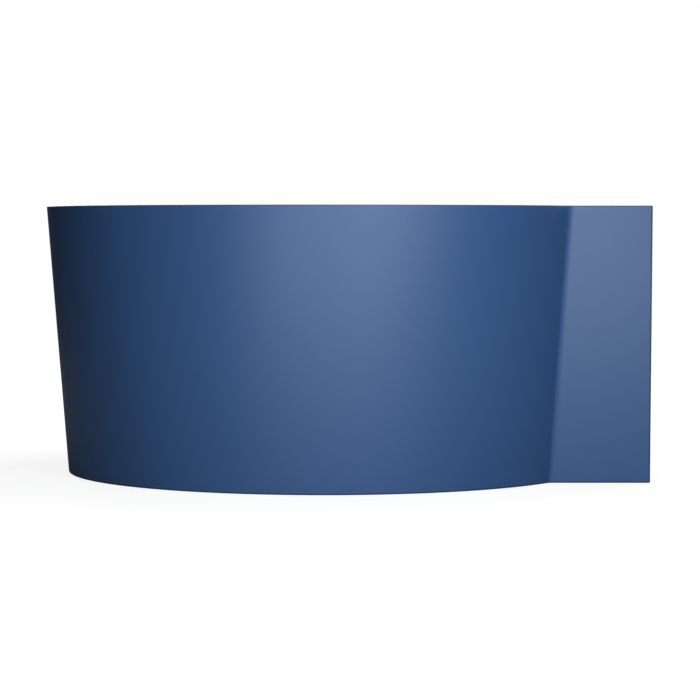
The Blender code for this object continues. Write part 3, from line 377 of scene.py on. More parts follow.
def bright_steel():
    finish = Finish("bright_plated_steel", metallic=1.0)
    scratch = finish.noise(finish.place(stretch=SCRATCH_STRETCH), detail=2.0)
    film = finish.noise(finish.place(), scale=120.0)
    finish.feed(base_color=finish.ramp(film, (0.3, STEEL_DULL), (0.7, STEEL_PALE)),
                roughness=finish.span(scratch * 0.6 + film * 0.4, NOISE_BAND, (0.20, 0.38)))
    finish.bump(scratch, distance=0.00003, strength=0.5)
    return finish.material


def chrome():
    finish = Finish("polished_chrome", metallic=1.0)
    film = finish.noise(finish.place(), scale=60.0, detail=4.0, distortion=1.0)
    finish.feed(base_color=finish.ramp(film, (0.3, CHROME_DULL), (0.7, CHROME_PALE)),
                roughness=finish.span(film, (0.35, 0.8), (0.04, 0.12)))
    return finish.material


ZINC = zinc()
STEEL = bright_steel()
CHROME = chrome()
print(ZINC.name, STEEL.name, CHROME.name)

# %% [markdown]
# ### Plastics and rubber
# Waste fittings are moulded in a slightly warm white, with the faint grain of a spark-cut mould. The floor
# pads are black plastic of a coarser grain, the seals are dusty black rubber, and the cable has a smooth
# dark sheath. One function makes them all, because they differ only in colour, gloss and grain.

# %% Plastics and rubber
MOULDED_SHINIER = 0.05
MOULDED_DULLER = 0.07


def moulded(name, pale, deep, gloss, grain_scale, grain_height):
    finish = Finish(name, ior=1.48)
    spot = finish.place()
    drift = finish.noise(spot, scale=18.0)
    grain = finish.noise(spot, scale=grain_scale, detail=2.0)
    tone = finish.span(drift * 0.7 + grain * 0.3, NOISE_BAND)
    limits = (gloss - MOULDED_SHINIER, gloss + MOULDED_DULLER)
    finish.feed(base_color=finish.mixed(tone, deep, pale),
                roughness=finish.span(grain * 0.5 + drift * 0.5, NOISE_BAND, limits))
    finish.bump(grain, distance=grain_height, strength=0.6)
    return finish.material


PLASTIC = moulded("white_moulding", (0.78, 0.78, 0.75), (0.72, 0.72, 0.69), 0.36, 700.0, 0.00005)
BLACK = moulded("black_moulding", (0.040, 0.040, 0.042), (0.022, 0.022, 0.024), 0.52, 500.0, 0.0001)
RUBBER = moulded("seal_rubber", (0.034, 0.034, 0.033), (0.018, 0.018, 0.018), 0.78, 420.0, 0.0001)
SHEATH = moulded("sheathing", (0.050, 0.052, 0.056), (0.034, 0.035, 0.038), 0.40, 300.0, 0.00003)
print(PLASTIC.name, BLACK.name, RUBBER.name, SHEATH.name)

# %% [markdown]
# ## Hands
# Operators act on whatever is selected, in whatever mode is on. These small helpers put everything down,
# take one piece in hand, select its faces, edges or points by their place, and turn its faces outwards, so
# that each later cell reads like the steps of modelling by hand.

# %% Hands
WELD_DISTANCE = 0.000001


def put_down():
    """Leaves edit mode and selects nothing."""
    if bpy.context.object and bpy.context.object.mode != "OBJECT":
        bpy.ops.object.mode_set(mode="OBJECT")
    bpy.ops.object.select_all(action="DESELECT")


def take(piece, editing=False):
    """Takes one piece in hand, in edit mode if its mesh is to be shaped."""
    put_down()
    piece.select_set(True)
    bpy.context.view_layer.objects.active = piece
    if editing:
        bpy.ops.object.mode_set(mode="EDIT")
        bpy.ops.mesh.select_mode(type="VERT")
        bpy.ops.mesh.select_all(action="DESELECT")
    return piece


def pick(piece, kind, test):
    """Selects the verts, edges or faces of the piece in hand that pass a test, and counts them."""
    bpy.ops.mesh.select_mode(type={"verts": "VERT", "edges": "EDGE", "faces": "FACE"}[kind])
    bpy.ops.mesh.select_all(action="DESELECT")
    mesh = bmesh.from_edit_mesh(piece.data)
    chosen = [item for item in getattr(mesh, kind) if test(item)]
    for item in chosen:
        item.select_set(True)
    mesh.select_flush_mode()
    bmesh.update_edit_mesh(piece.data)
    return len(chosen)


def middle_of(item):
    return sum((vert.co for vert in item.verts), Vector()) / len(item.verts)


def face_outwards(welding=False):
    """Turns every face of the piece in hand outwards, with doubled points merged first if asked."""
    bpy.ops.mesh.select_all(action="SELECT")
    if welding:
        bpy.ops.mesh.remove_doubles(threshold=WELD_DISTANCE)
    bpy.ops.mesh.normals_make_consistent(inside=False)


# %% [markdown]
# ## The sheet that goes round
# The skirt and the deck's lip follow one line in plan: a round front, a hollow crease at each end, and a
# flat wing from there to the wall. The sheet could be drawn as an outline and extruded, but it also leans
# outwards. So it starts as an open cone. Each side is cut off by the wing's leaning plane, the cut edge is
# pulled out to the wall and made straight there, and the corner that this leaves is bevelled to the
# crease's radius. The bevel leaves doubled points at its ends, which would keep later bevels small, so they
# are merged.

# %% The sheet that goes round
HEIGHT = 0.605
BASE_RADIUS = 0.593
RIM_RADIUS = 0.640
WALL_REACH = 0.710
WING_OFFSET = 0.335
WING_LEAN = 0.023
CREASE_RADIUS = 0.022
CREASE_SEGMENTS = 10
BOWL_MIDDLE = Vector((-0.035, -0.035, 0.0))
ON_PLANE = 0.00001


def skirt_radius(level):
    return BASE_RADIUS + (RIM_RADIUS - BASE_RADIUS) * level / HEIGHT


def leaning_sheet(name, low, high, inset, wall, steps):
    """The line in plan between two levels, moved inwards and ending at a wall's distance."""
    put_down()
    middle = BOWL_MIDDLE + Vector((0.0, 0.0, (low + high) / 2))
    bpy.ops.mesh.primitive_cone_add(
        vertices=steps, radius1=skirt_radius(low) - inset, radius2=skirt_radius(high) - inset,
        depth=high - low, end_fill_type="NOTHING", location=middle)
    sheet = bpy.context.object
    sheet.name = name
    bpy.ops.object.transform_apply(location=True, rotation=True, scale=True)
    take(sheet, editing=True)
    for side in (0, 1):
        add_wing(sheet, side, 1 - side, inset, wall)
    face_outwards(welding=True)
    mesh = bmesh.from_edit_mesh(sheet.data)
    front = min(mesh.faces, key=lambda face: middle_of(face).y)
    if front.normal.y > 0.0:
        bpy.ops.mesh.flip_normals()
    put_down()
    return sheet


def add_wing(sheet, along_it, across, inset, wall):
    """Cuts one side off by the wing's plane, pulls the cut to the wall and bevels the crease."""
    foot = BOWL_MIDDLE.copy()
    foot[across] -= WING_OFFSET - inset
    square = Vector((0.0, 0.0, WING_LEAN / HEIGHT))
    square[across] = 1.0
    pull = Vector((0.0, 0.0, 0.0))
    pull[along_it] = wall / 2
    flat = Vector((1.0, 1.0, 1.0))
    flat[along_it] = 0.0
    end = BOWL_MIDDLE.copy()
    end[along_it] += wall

    def on_plane(edge):
        return all(abs((vert.co - foot).dot(square)) < ON_PLANE for vert in edge.verts)

    pick(sheet, "faces", lambda face: middle_of(face)[along_it] > BOWL_MIDDLE[along_it])
    bpy.ops.mesh.bisect(plane_co=foot, plane_no=square, clear_outer=True)
    pick(sheet, "edges", lambda edge: edge.is_boundary and on_plane(edge))
    bpy.ops.mesh.extrude_region_move(TRANSFORM_OT_translate={"value": pull})
    bpy.ops.transform.resize(value=flat, center_override=end)
    pick(sheet, "edges", lambda edge: on_plane(edge) and not edge.is_boundary)
    mesh = bmesh.from_edit_mesh(sheet.data)
    bend = max(edge.calc_face_angle() for edge in mesh.edges if edge.select)
    tangent = (CREASE_RADIUS + inset) * math.tan(bend / 2)
    bpy.ops.mesh.bevel(offset=tangent, segments=CREASE_SEGMENTS, affect="EDGES")


lean = math.degrees(math.atan2(RIM_RADIUS - BASE_RADIUS, HEIGHT))
print("the sheet leans outwards by", round(lean, 1), "degrees")

# %% [markdown]
# ## Last touches
# Every piece ends in the same way: its edges are rounded, faces that have no size are cleared, and it takes
# the place of its solid. Edges could be picked and bevelled one by one, but most pieces want one radius on
# all their sharp edges, and the Bevel modifier finds those by their angle.

# %% Last touches
SMOOTH_BELOW = math.radians(32)


def modify(piece, kind, **settings):
    """Adds a modifier and applies it."""
    take(piece)
    step = piece.modifiers.new(kind.lower(), kind)
    for name, value in settings.items():
        setattr(step, name, value)
    bpy.ops.object.modifier_apply(modifier=step.name)
    return piece


def round_edges(piece, width, segments=2, sharper_than=35):
    """Rounds every edge that is sharper than an angle in degrees."""
    return modify(piece, "BEVEL", width=width, segments=segments, limit_method="ANGLE",
                  angle_limit=math.radians(sharper_than))


def clear_slivers(piece):
    """Dissolves faces and edges that have no size."""
    take(piece, editing=True)
    bpy.ops.mesh.select_all(action="SELECT")
    bpy.ops.mesh.dissolve_degenerate(threshold=WELD_DISTANCE)
    put_down()
    return piece


def stand_for(piece, node, finish=None):
    """Gives a piece its finish and lets it stand for a solid, on that solid's body."""
    if finish:
        piece.data.materials.clear()
        piece.data.materials.append(finish)
    take(piece)
    bpy.ops.object.shade_smooth_by_angle(angle=SMOOTH_BELOW)
    put_down()
    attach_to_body(piece, BODY_OF[node])
    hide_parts(node)
    finishes = ", ".join(slot.name for slot in piece.data.materials)
    print(piece.name, "stands for", node, "with", len(piece.data.polygons), "faces in", finishes)


# %% [markdown]
# ## Skirt
# The skirt is all that the picture shows: one blue sheet, 8 mm thick, that leans outwards by 4.4 degrees.
# The sheet gets its thickness inwards from Solidify, which also gives the back its raw glass fibre. Its
# rims are pressed level and its edges rounded to a few millimetres, so that they catch a thin line of
# light.

# %% Skirt
SKIRT_WALL = 0.008
SKIRT_EDGE = 0.0025
SKIRT_EDGE_SEGMENTS = 4
SKIRT_STEPS = 320


def level_off(piece, low, high):
    """Presses a piece's upper and lower rims flat."""
    middle = (low + high) / 2
    take(piece, editing=True)
    for level in (high, low):
        pick(piece, "verts", lambda vert: (vert.co.z > middle) == (level > middle))
        bpy.ops.transform.resize(value=(1, 1, 0), center_override=(0, 0, level))
    put_down()


skirt = leaning_sheet("blue_skirt", 0.0, HEIGHT, 0.0, WALL_REACH, SKIRT_STEPS)
skirt.data.materials.append(BLUE)
skirt.data.materials.append(RAW)
modify(skirt, "SOLIDIFY", thickness=SKIRT_WALL, offset=-1.0, use_even_offset=True, material_offset=1)
level_off(skirt, 0.0, HEIGHT)
clear_slivers(round_edges(skirt, SKIRT_EDGE, SKIRT_EDGE_SEGMENTS))
stand_for(skirt, "skirt")

# %% [markdown]
# ## Lathe
# Most fittings of a bath are round: the waste, the plug, the knob, pipes, nuts and feet. A cylinder could
# be scaled loop by loop, but a turner thinks in sections. So a single point is extruded along half a
# section and then spun about the upright axis. The poles are merged and the normals recalculated, because a
# spin can leave a shape inside out.

# %% Lathe
START_SIZE = 0.01
LATHE_STEPS = 48
FINE_STEPS = 64
SMALL_STEPS = 32
DRILL_STEPS = 24


def settle(piece, matrix):
    """Moves a piece to its place and puts that place into its mesh."""
    take(piece)
    piece.matrix_world = matrix
    bpy.ops.object.transform_apply(location=True, rotation=True, scale=True)
    return piece


def draw_section(name, section, closed):
    """Extrudes one point along a section of radii and heights, in the plane of X and Z."""
    put_down()
    bpy.ops.mesh.primitive_plane_add(size=START_SIZE)
    piece = bpy.context.object
    piece.name = name
    take(piece, editing=True)
    bpy.ops.mesh.select_all(action="SELECT")
    bpy.ops.mesh.merge(type="CENTER")
    here = Vector((section[0][0], 0.0, section[0][1]))
    bpy.ops.transform.translate(value=here)
    for radius, height in section[1:]:
        there = Vector((radius, 0.0, height))
        bpy.ops.mesh.extrude_vertices_move(TRANSFORM_OT_translate={"value": there - here})
        here = there
    if closed:
        pick(piece, "verts", lambda vert: len(vert.link_edges) == 1)
        bpy.ops.mesh.edge_face_add()
    return piece


def turn(name, section, steps=LATHE_STEPS, rounding=0.0, segments=2, finish=None, place=None):
    """Spins a section into a solid, closed on the axis or round a bore, and rounds its edges."""
    piece = draw_section(name, section, closed=section[0][0] > 0.0)
    bpy.ops.mesh.select_all(action="SELECT")
    bpy.ops.mesh.spin(steps=steps, angle=math.tau, center=(0.0, 0.0, 0.0), axis=(0.0, 0.0, 1.0))
    face_outwards(welding=True)
    put_down()
    if rounding:
        round_edges(piece, rounding, segments)
    if finish:
        piece.data.materials.append(finish)
    return settle(piece, place) if place else piece


def ring(inner, outer, low, high):
    return [(outer, high), (outer, low), (inner, low), (inner, high)]


def rod(radius, low, high):
    return [(0.0, high), (radius, high), (radius, low), (0.0, low)]


# %% [markdown]
# ## Basin
# The basin is one moulding: a round bowl with sloping sides and a flat floor, a flat deck that fills the
# corner, and a lip turned down all round behind the skirt. A sheet could be stretched over all of it, but
# the deck's outline is not round. So it is built as a mould maker would: a block with the deck's outline is
# hollowed from below, the bowl's outside is added and its inside cut out, each as a turned solid with its
# own finish. First come the blocks with the deck's outline.

# %% Deck
SHELL = 0.006
LIP_DEPTH = 0.040
LIP_LEVEL = HEIGHT - LIP_DEPTH
DECK_INSET = 0.008624
DECK_STEPS = 192


def combine(piece, tool, operation, solver="EXACT"):
    """Joins a tool to a piece, or cuts it out, and clears the tool away."""
    modify(piece, "BOOLEAN", object=tool, operation=operation, solver=solver, material_mode="TRANSFER")
    bpy.data.objects.remove(tool)
    return clear_slivers(piece)


def deck_block(name, low, high, inset, wall, finish):
    """A solid with the deck's outline: the leaning sheet, closed along the two walls, above and below."""
    block = leaning_sheet(name, low, high, inset, wall, DECK_STEPS)
    corner = BOWL_MIDDLE + Vector((wall, wall, 0.0))

    def along_wall(edge, axis):
        return all(abs(vert.co[axis] - corner[axis]) < ON_PLANE for vert in edge.verts)

    take(block, editing=True)
    pick(block, "edges", lambda edge: edge.is_boundary and along_wall(edge, 0))
    bpy.ops.mesh.extrude_region_move(TRANSFORM_OT_translate={"value": (0.0, wall, 0.0)})
    bpy.ops.transform.resize(value=(1, 0, 1), center_override=corner)
    pick(block, "edges", lambda edge: edge.is_boundary and along_wall(edge, 1))
    bpy.ops.mesh.edge_face_add()
    for level in (low, high):
        pick(block, "edges", lambda edge: edge.is_boundary and abs(middle_of(edge).z - level) < ON_PLANE)
        bpy.ops.mesh.edge_face_add()
    face_outwards()
    put_down()
    block.data.materials.append(finish)
    return block


basin = deck_block("white_basin", LIP_LEVEL, HEIGHT, DECK_INSET, WALL_REACH, WHITE)
tray = deck_block("tray", LIP_LEVEL - SHELL, HEIGHT - SHELL, DECK_INSET + SHELL, WALL_REACH - SHELL, RAW)
combine(basin, tray, "DIFFERENCE")
print("deck", len(basin.data.polygons), "faces")

# %% [markdown]
# The bowl's side slopes and runs into the floor in a wide fillet. Its section is one line, so the outside
# is the same line moved out by the shell's thickness.

# %% Bowl
BOWL_RADIUS = 0.585
BOWL_DRAFT = math.radians(10)
BOWL_FILLET = 0.100
FLOOR_HEIGHT = 0.130
FILLET_LEVEL = FLOOR_HEIGHT + BOWL_FILLET * (1.0 - math.sin(BOWL_DRAFT))
FILLET_RADIUS = BOWL_RADIUS - (HEIGHT - FILLET_LEVEL) * math.tan(BOWL_DRAFT)
FLOOR_RADIUS = FILLET_RADIUS - BOWL_FILLET * math.cos(BOWL_DRAFT)
FILLET_SEGMENTS = 20
BOWL_STEPS = 192
TO_CORNER = Matrix.Translation(BOWL_MIDDLE) @ Matrix.Rotation(math.pi / 4, 4, "Z")


def bowl_solid(name, offset, top, finish):
    """The bowl as a solid, moved outwards by an offset and filled up to a level."""
    mouth = BOWL_RADIUS + offset / math.cos(BOWL_DRAFT) + (top - HEIGHT) * math.tan(BOWL_DRAFT)
    reach = BOWL_FILLET + offset
    section = [(0.0, top), (mouth, top)]
    for step in range(FILLET_SEGMENTS + 1):
        angle = -BOWL_DRAFT - (math.pi / 2 - BOWL_DRAFT) * step / FILLET_SEGMENTS
        section.append((FLOOR_RADIUS + reach * math.cos(angle),
                        FLOOR_HEIGHT + BOWL_FILLET + reach * math.sin(angle)))
    section.append((0.0, FLOOR_HEIGHT - offset))
    return turn(name, section, BOWL_STEPS, finish=finish, place=TO_CORNER)


combine(basin, bowl_solid("outside", SHELL, HEIGHT - SHELL / 2, RAW), "UNION")
combine(basin, bowl_solid("inside", 0.0, HEIGHT + SHELL, WHITE), "DIFFERENCE")
print("basin", len(basin.data.polygons), "faces before its edges are rounded")

# %% [markdown]
# The bowl's mouth rolls over into the deck in a soft curve, and the deck's outer edge is crisper. Both are
# bevelled by hand, because each has its own radius. Then the holes for the waste and the overflow are
# drilled, the first straight down near the wall corner and the second square to the sloping side above it.

# %% Basin edges and holes
MOUTH_EDGE = 0.009
MOUTH_SEGMENTS = 6
DECK_EDGE = 0.003
DECK_EDGE_SEGMENTS = 3
RIM_ANGLE = 0.5
RIM_MARGIN = 0.001
DRAIN_SETBACK = 0.077
DRAIN_REACH = FLOOR_RADIUS - DRAIN_SETBACK
DRAIN_HOLE_RADIUS = 0.026
OVERFLOW_DROP = 0.105
OVERFLOW_LEVEL = HEIGHT - OVERFLOW_DROP
OVERFLOW_REACH = BOWL_RADIUS - OVERFLOW_DROP * math.tan(BOWL_DRAFT)
OVERFLOW_HOLE_RADIUS = 0.026


def at(reach, aside=0.0, level=0.0):
    """A place on the corner's diagonal, or beside it, at a level."""
    return TO_CORNER @ Matrix.Translation((reach, aside, level))


def drill(piece, section, place=None, steps=LATHE_STEPS, finish=None):
    """Cuts a turned shape out of a piece."""
    return combine(piece, turn("drill", section, steps, finish=finish, place=place), "DIFFERENCE")


def on_rim(edge, at_mouth):
    """Whether a sharp edge at the deck's level belongs to the bowl's mouth or to the deck's outline."""
    off_level = any(abs(vert.co.z - HEIGHT) > ON_PLANE for vert in edge.verts)
    if off_level or edge.calc_face_angle(0.0) < RIM_ANGLE:
        return False
    reach = (middle_of(edge) - BOWL_MIDDLE).xy.length
    return (reach < BOWL_RADIUS + RIM_MARGIN) == at_mouth


AT_DRAIN = at(DRAIN_REACH)
AT_OVERFLOW = at(OVERFLOW_REACH, level=OVERFLOW_LEVEL) @ Matrix.Rotation(BOWL_DRAFT - math.pi / 2, 4, "Y")
take(basin, editing=True)
print("mouth edges", pick(basin, "edges", lambda edge: on_rim(edge, True)))
bpy.ops.mesh.bevel(offset=MOUTH_EDGE, segments=MOUTH_SEGMENTS, affect="EDGES")
print("deck edges", pick(basin, "edges", lambda edge: on_rim(edge, False)))
bpy.ops.mesh.bevel(offset=DECK_EDGE, segments=DECK_EDGE_SEGMENTS, affect="EDGES")
put_down()
drain_hole = rod(DRAIN_HOLE_RADIUS, FLOOR_HEIGHT - 2 * SHELL, FLOOR_HEIGHT + SHELL)
drill(basin, drain_hole, AT_DRAIN, finish=WHITE)
drill(basin, rod(OVERFLOW_HOLE_RADIUS, -2 * SHELL, SHELL), AT_OVERFLOW, finish=WHITE)
stand_for(basin, "basin")

# %% [markdown]
# ## Board and timbers
# Under the bowl's floor lies a disc of flake board that spreads its weight onto the rails, with a hole for
# the waste. The deck rests on sawn timber at the wall corner: a batten along each wall and a bearer across.
# The timbers start as stretched cubes. A saw leaves crisp edges, so these are only eased by a millimetre or
# two, and the ends of a batten could be left as they are, because they butt against the lip.

# %% Board and battens
GAP = 0.0003
FLOOR_UNDERSIDE = FLOOR_HEIGHT - SHELL
DECK_UNDERSIDE = HEIGHT - SHELL - GAP
BOARD_THICKNESS = 0.018
BOARD_MARGIN = 0.060
BOARD_TOP = FLOOR_UNDERSIDE - GAP
BOARD_BOTTOM = BOARD_TOP - BOARD_THICKNESS
BOARD_RADIUS = DRAIN_REACH + BOARD_MARGIN
BOARD_HOLE_RADIUS = 0.045
BOARD_EDGE = 0.001
SAWN_EDGE = 0.0015


def slab(name, low, high):
    """A cube stretched between two corners, as a blank for sawn or pressed pieces."""
    put_down()
    bpy.ops.mesh.primitive_cube_add(size=1.0, location=(Vector(high) + Vector(low)) / 2)
    piece = bpy.context.object
    piece.name = name
    piece.scale = Vector(high) - Vector(low)
    bpy.ops.object.transform_apply(location=True, rotation=True, scale=True)
    return piece


board = turn("flake_board_disc", rod(BOARD_RADIUS, BOARD_BOTTOM, BOARD_TOP), BOWL_STEPS, place=TO_CORNER)
drill(board, rod(BOARD_HOLE_RADIUS, BOARD_BOTTOM - GAP, BOARD_TOP + GAP), AT_DRAIN)
stand_for(round_edges(board, BOARD_EDGE), "base_board", FLAKES)
for node, wood in (("wall_batten_right", WOOD_ALONG_Y), ("wall_batten_back", WOOD_ALONG_X)):
    batten = slab(node + "_sawn", *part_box(node))
    stand_for(round_edges(batten, SAWN_EDGE), node, wood)

# %% [markdown]
# The bearer runs across the corner, so a box round it in the walls' directions is far too large. It is cut
# to length in the direction of the diagonal instead and turned into place.

# %% Bearer across the corner
UPRIGHT_REACH = 0.640
BEARER_HALF_WIDTH = 0.0175
BEARER_HEIGHT = 0.045
BEARER_BOTTOM = DECK_UNDERSIDE - BEARER_HEIGHT
BATTEN_THICKNESS = 0.020
BATTEN_INNER = WALL_REACH - SHELL - BATTEN_THICKNESS - 2 * GAP
BEARER_REACH = BATTEN_INNER * math.sqrt(2) - UPRIGHT_REACH - BEARER_HALF_WIDTH - GAP
bearer = slab("deck_bearer_sawn", (UPRIGHT_REACH - BEARER_HALF_WIDTH, -BEARER_REACH, BEARER_BOTTOM),
              (UPRIGHT_REACH + BEARER_HALF_WIDTH, BEARER_REACH, DECK_UNDERSIDE))
stand_for(settle(round_edges(bearer, SAWN_EDGE), TO_CORNER), "deck_bearer", WOOD_TO_CORNER)

# %% [markdown]
# ## Steel frame
# Two long rails carry the board, a cross rail ties them together, and two uprights carry the bearer. They
# are rolled square tubes, 2 mm thick, whose corners are rounded by the rolling. A tube could be a block
# with a block cut out of it, but then its inside corners would be square. So a cube loses its ends, its
# long edges are bevelled, and Solidify gives the wall. The rails are drilled for the feet.

# %% Rails
TUBE_WALL = 0.002
TUBE_CORNER = 0.004
TUBE_CORNER_SEGMENTS = 4
TUBE_BURR = 0.0003
SQUARE_ON = 0.9
RAIL_HALF = 0.015
RAIL_SPREAD = 0.200
RAIL_TOP = BOARD_BOTTOM - GAP
RAIL_BOTTOM = RAIL_TOP - 2 * RAIL_HALF
SKIRT_WALL_LEVEL = 0.008024
SKIRT_FOOT = BASE_RADIUS - SKIRT_WALL_LEVEL
RAIL_END_CLEARANCE = 0.044
RAIL_OVERHANG = 0.020
RAIL_FRONT = math.sqrt(SKIRT_FOOT ** 2 - (RAIL_SPREAD + RAIL_HALF) ** 2) - RAIL_END_CLEARANCE
RAIL_BACK = UPRIGHT_REACH + RAIL_OVERHANG
FOOT_FRONT = RAIL_FRONT - 0.140
FOOT_BACK = RAIL_BACK - 0.160
SPINDLE_RADIUS = 0.005
SIDES = {"left": 1, "right": -1}


def square_tube(name, low, high, axis):
    """A rolled tube with open ends, between two corners of its box along the diagonal."""
    tube = slab(name, low, high)
    take(tube, editing=True)
    pick(tube, "faces", lambda face: abs(face.normal[axis]) > SQUARE_ON)
    bpy.ops.mesh.delete(type="ONLY_FACE")
    pick(tube, "edges", lambda edge: not edge.is_boundary)
    bpy.ops.mesh.bevel(offset=TUBE_CORNER, segments=TUBE_CORNER_SEGMENTS, affect="EDGES")
    face_outwards()
    put_down()
    modify(tube, "SOLIDIFY", thickness=TUBE_WALL, offset=-1.0, use_even_offset=True)
    return settle(round_edges(tube, TUBE_BURR, segments=1, sharper_than=50), TO_CORNER)


for side, sign in SIDES.items():
    middle = sign * RAIL_SPREAD
    rail = square_tube("rail_tube_" + side, (-RAIL_FRONT, middle - RAIL_HALF, RAIL_BOTTOM),
                       (RAIL_BACK, middle + RAIL_HALF, RAIL_TOP), 0)
    spindle_hole = rod(SPINDLE_RADIUS + GAP, RAIL_BOTTOM - TUBE_WALL, RAIL_BOTTOM + 2 * TUBE_WALL)
    for reach in (-FOOT_FRONT, FOOT_BACK):
        drill(rail, spindle_hole, at(reach, middle), DRILL_STEPS)
    stand_for(rail, "support_rail_" + side, ZINC)

# %% [markdown]
# The uprights stand on the rails' back ends, and the cross rail hangs under the rails in front. They are the
# same tube, cut to other lengths: the first run along the height and the second across the diagonal.

# %% Uprights and cross rail
POST_HALF = 0.0125
CROSS_SETBACK = 0.100
CROSS_TOP = RAIL_BOTTOM - GAP
CROSS_REACH = math.sqrt(SKIRT_FOOT ** 2 - (CROSS_SETBACK + RAIL_HALF) ** 2) - RAIL_END_CLEARANCE
for side, sign in SIDES.items():
    middle = sign * RAIL_SPREAD
    low = (UPRIGHT_REACH - POST_HALF, middle - POST_HALF, RAIL_TOP + GAP)
    high = (UPRIGHT_REACH + POST_HALF, middle + POST_HALF, BEARER_BOTTOM - GAP)
    stand_for(square_tube("upright_tube_" + side, low, high, 2), "upright_" + side, ZINC)
cross = square_tube("cross_tube", (-CROSS_SETBACK - RAIL_HALF, -CROSS_REACH, CROSS_TOP - 2 * RAIL_HALF),
                    (-CROSS_SETBACK + RAIL_HALF, CROSS_REACH, CROSS_TOP), 1)
stand_for(cross, "cross_rail", ZINC)

# %% [markdown]
# ## Skirt brackets
# Four bent steel angles hold the skirt's foot: a tongue lies on the end of a rail and a leg leans against
# the skirt's back. Two round screw heads with a cross recess fix each tongue to its rail. A head is turned
# as a low dome, and two thin slabs cut the recess.

# %% Screw head
SCREW_RADIUS = 0.0042
SCREW_HEIGHT = 0.0024
SCREW_DOME = ((0.55, 0.9), (0.9, 0.5), (1.0, 0.0))
RECESS_REACH = 0.55 * SCREW_RADIUS
RECESS_HALF = 0.12 * SCREW_RADIUS
RECESS_FLOOR = 0.5 * SCREW_HEIGHT


def screw_head():
    dome = [(reach * SCREW_RADIUS, rise * SCREW_HEIGHT) for reach, rise in SCREW_DOME]
    head = turn("screw_head", [(0.0, SCREW_HEIGHT), *dome, (0.0, 0.0)], DRILL_STEPS)
    for reach, width in ((RECESS_REACH, RECESS_HALF), (RECESS_HALF, RECESS_REACH)):
        recess = slab("recess", (-reach, -width, RECESS_FLOOR), (reach, width, 2 * SCREW_HEIGHT))
        combine(head, recess, "DIFFERENCE")
    return head


screw = screw_head()
print(screw.name, len(screw.data.polygons), "faces")

# %% [markdown]
# An angle is drawn in section, extruded to its width, and bevelled where the press bent it. The skirt is
# round and the leg is flat, so the leg stands off by the height of the arc across its width. The screw heads
# are copies, each with a mesh of its own, that become part of the angle.

# %% Bent angle
BRACKET_HALF_WIDTH = 0.020
BRACKET_SHEET = 0.003
BRACKET_TONGUE = 0.095
BRACKET_LEG = 0.045
BRACKET_BEND = 0.004
BEND_SEGMENTS = 5
BRACKET_EDGE = 0.0004
FACET_SAG = 0.00054
SCREW_SETBACKS = (0.086, 0.068)


def copy_of(master, name, matrix):
    """A copy of a piece, with a mesh of its own, at a place."""
    take(master)
    bpy.ops.object.duplicate(linked=False)
    copy = bpy.context.object
    copy.name = name
    return settle(copy, matrix)


def attach(piece, *extras):
    """Makes extras part of a piece's mesh."""
    take(piece)
    for extra in extras:
        extra.select_set(True)
    bpy.ops.object.join()
    return piece


def skirt_inside(level):
    """How far out a flat leg reaches behind the skirt at a level."""
    radius = skirt_radius(level) - SKIRT_WALL_LEVEL
    return radius * (1.0 - FACET_SAG) - BRACKET_HALF_WIDTH ** 2 / (2 * radius) - GAP


def bent_angle(name, level):
    """An angle on a rail's end at a level, with its leg along +X, leaning as the skirt does."""
    low = level + GAP
    bend, top = low + BRACKET_SHEET, low + BRACKET_LEG
    start = skirt_inside(low) - BRACKET_TONGUE
    hollow = skirt_inside(bend) - BRACKET_SHEET
    section = [(start, low), (skirt_inside(low), low), (skirt_inside(top), top),
               (skirt_inside(top) - BRACKET_SHEET, top), (hollow, bend), (start, bend)]
    angle = draw_section(name, section, closed=True)
    bpy.ops.mesh.select_all(action="SELECT")
    bpy.ops.mesh.edge_face_add()
    bpy.ops.transform.translate(value=(0.0, -BRACKET_HALF_WIDTH, 0.0))
    bpy.ops.mesh.extrude_region_move(TRANSFORM_OT_translate={"value": (0.0, 2 * BRACKET_HALF_WIDTH, 0.0)})
    face_outwards()
    for reach, height, radius in ((skirt_inside(low), low, BRACKET_BEND + BRACKET_SHEET),
                                  (hollow, bend, BRACKET_BEND)):
        spot = Vector((reach, 0.0, height))
        pick(angle, "edges", lambda edge: (middle_of(edge) - spot).length < ON_PLANE)
        bpy.ops.mesh.bevel(offset=radius, segments=BEND_SEGMENTS, affect="EDGES")
    put_down()
    round_edges(angle, BRACKET_EDGE, sharper_than=60)
    spots = [Vector((skirt_inside(low) - setback, 0.0, bend)) for setback in SCREW_SETBACKS]
    return attach(angle, *[copy_of(screw, "head", Matrix.Translation(spot)) for spot in spots])


print("a leg reaches out to", round(skirt_inside(RAIL_TOP), 4), "m at the rails")

# %% [markdown]
# The rails and the cross rail lie at two levels, where the skirt has two radii. So one angle is bent for
# each level, and copied to the left and to the right, turned to face the skirt there.

# %% Skirt brackets
BRACKET_INSET = 0.025
ends = (("skirt_bracket_front_", BRACKET_INSET - RAIL_FRONT, RAIL_SPREAD, RAIL_TOP),
        ("skirt_bracket_", -CROSS_SETBACK, CROSS_REACH - BRACKET_INSET, CROSS_TOP))
for prefix, ahead, aside, level in ends:
    master = bent_angle("bent_angle", level)
    for side, sign in SIDES.items():
        heading = TO_CORNER @ Matrix.Rotation(math.atan2(sign * aside, ahead), 4, "Z")
        stand_for(copy_of(master, prefix + side + "_bent", heading), prefix + side, ZINC)
    bpy.data.objects.remove(master)
bpy.data.objects.remove(screw)

# %% [markdown]
# ## Levelling feet
# Each foot is a threaded spindle that stands in a pad and turns in a nut under the rail, with a lock nut
# below it. A nut is a six-sided lathe shape. Real nuts have their corners turned down to a cone, so it
# keeps only what lies within a turned lens, and is then bored.

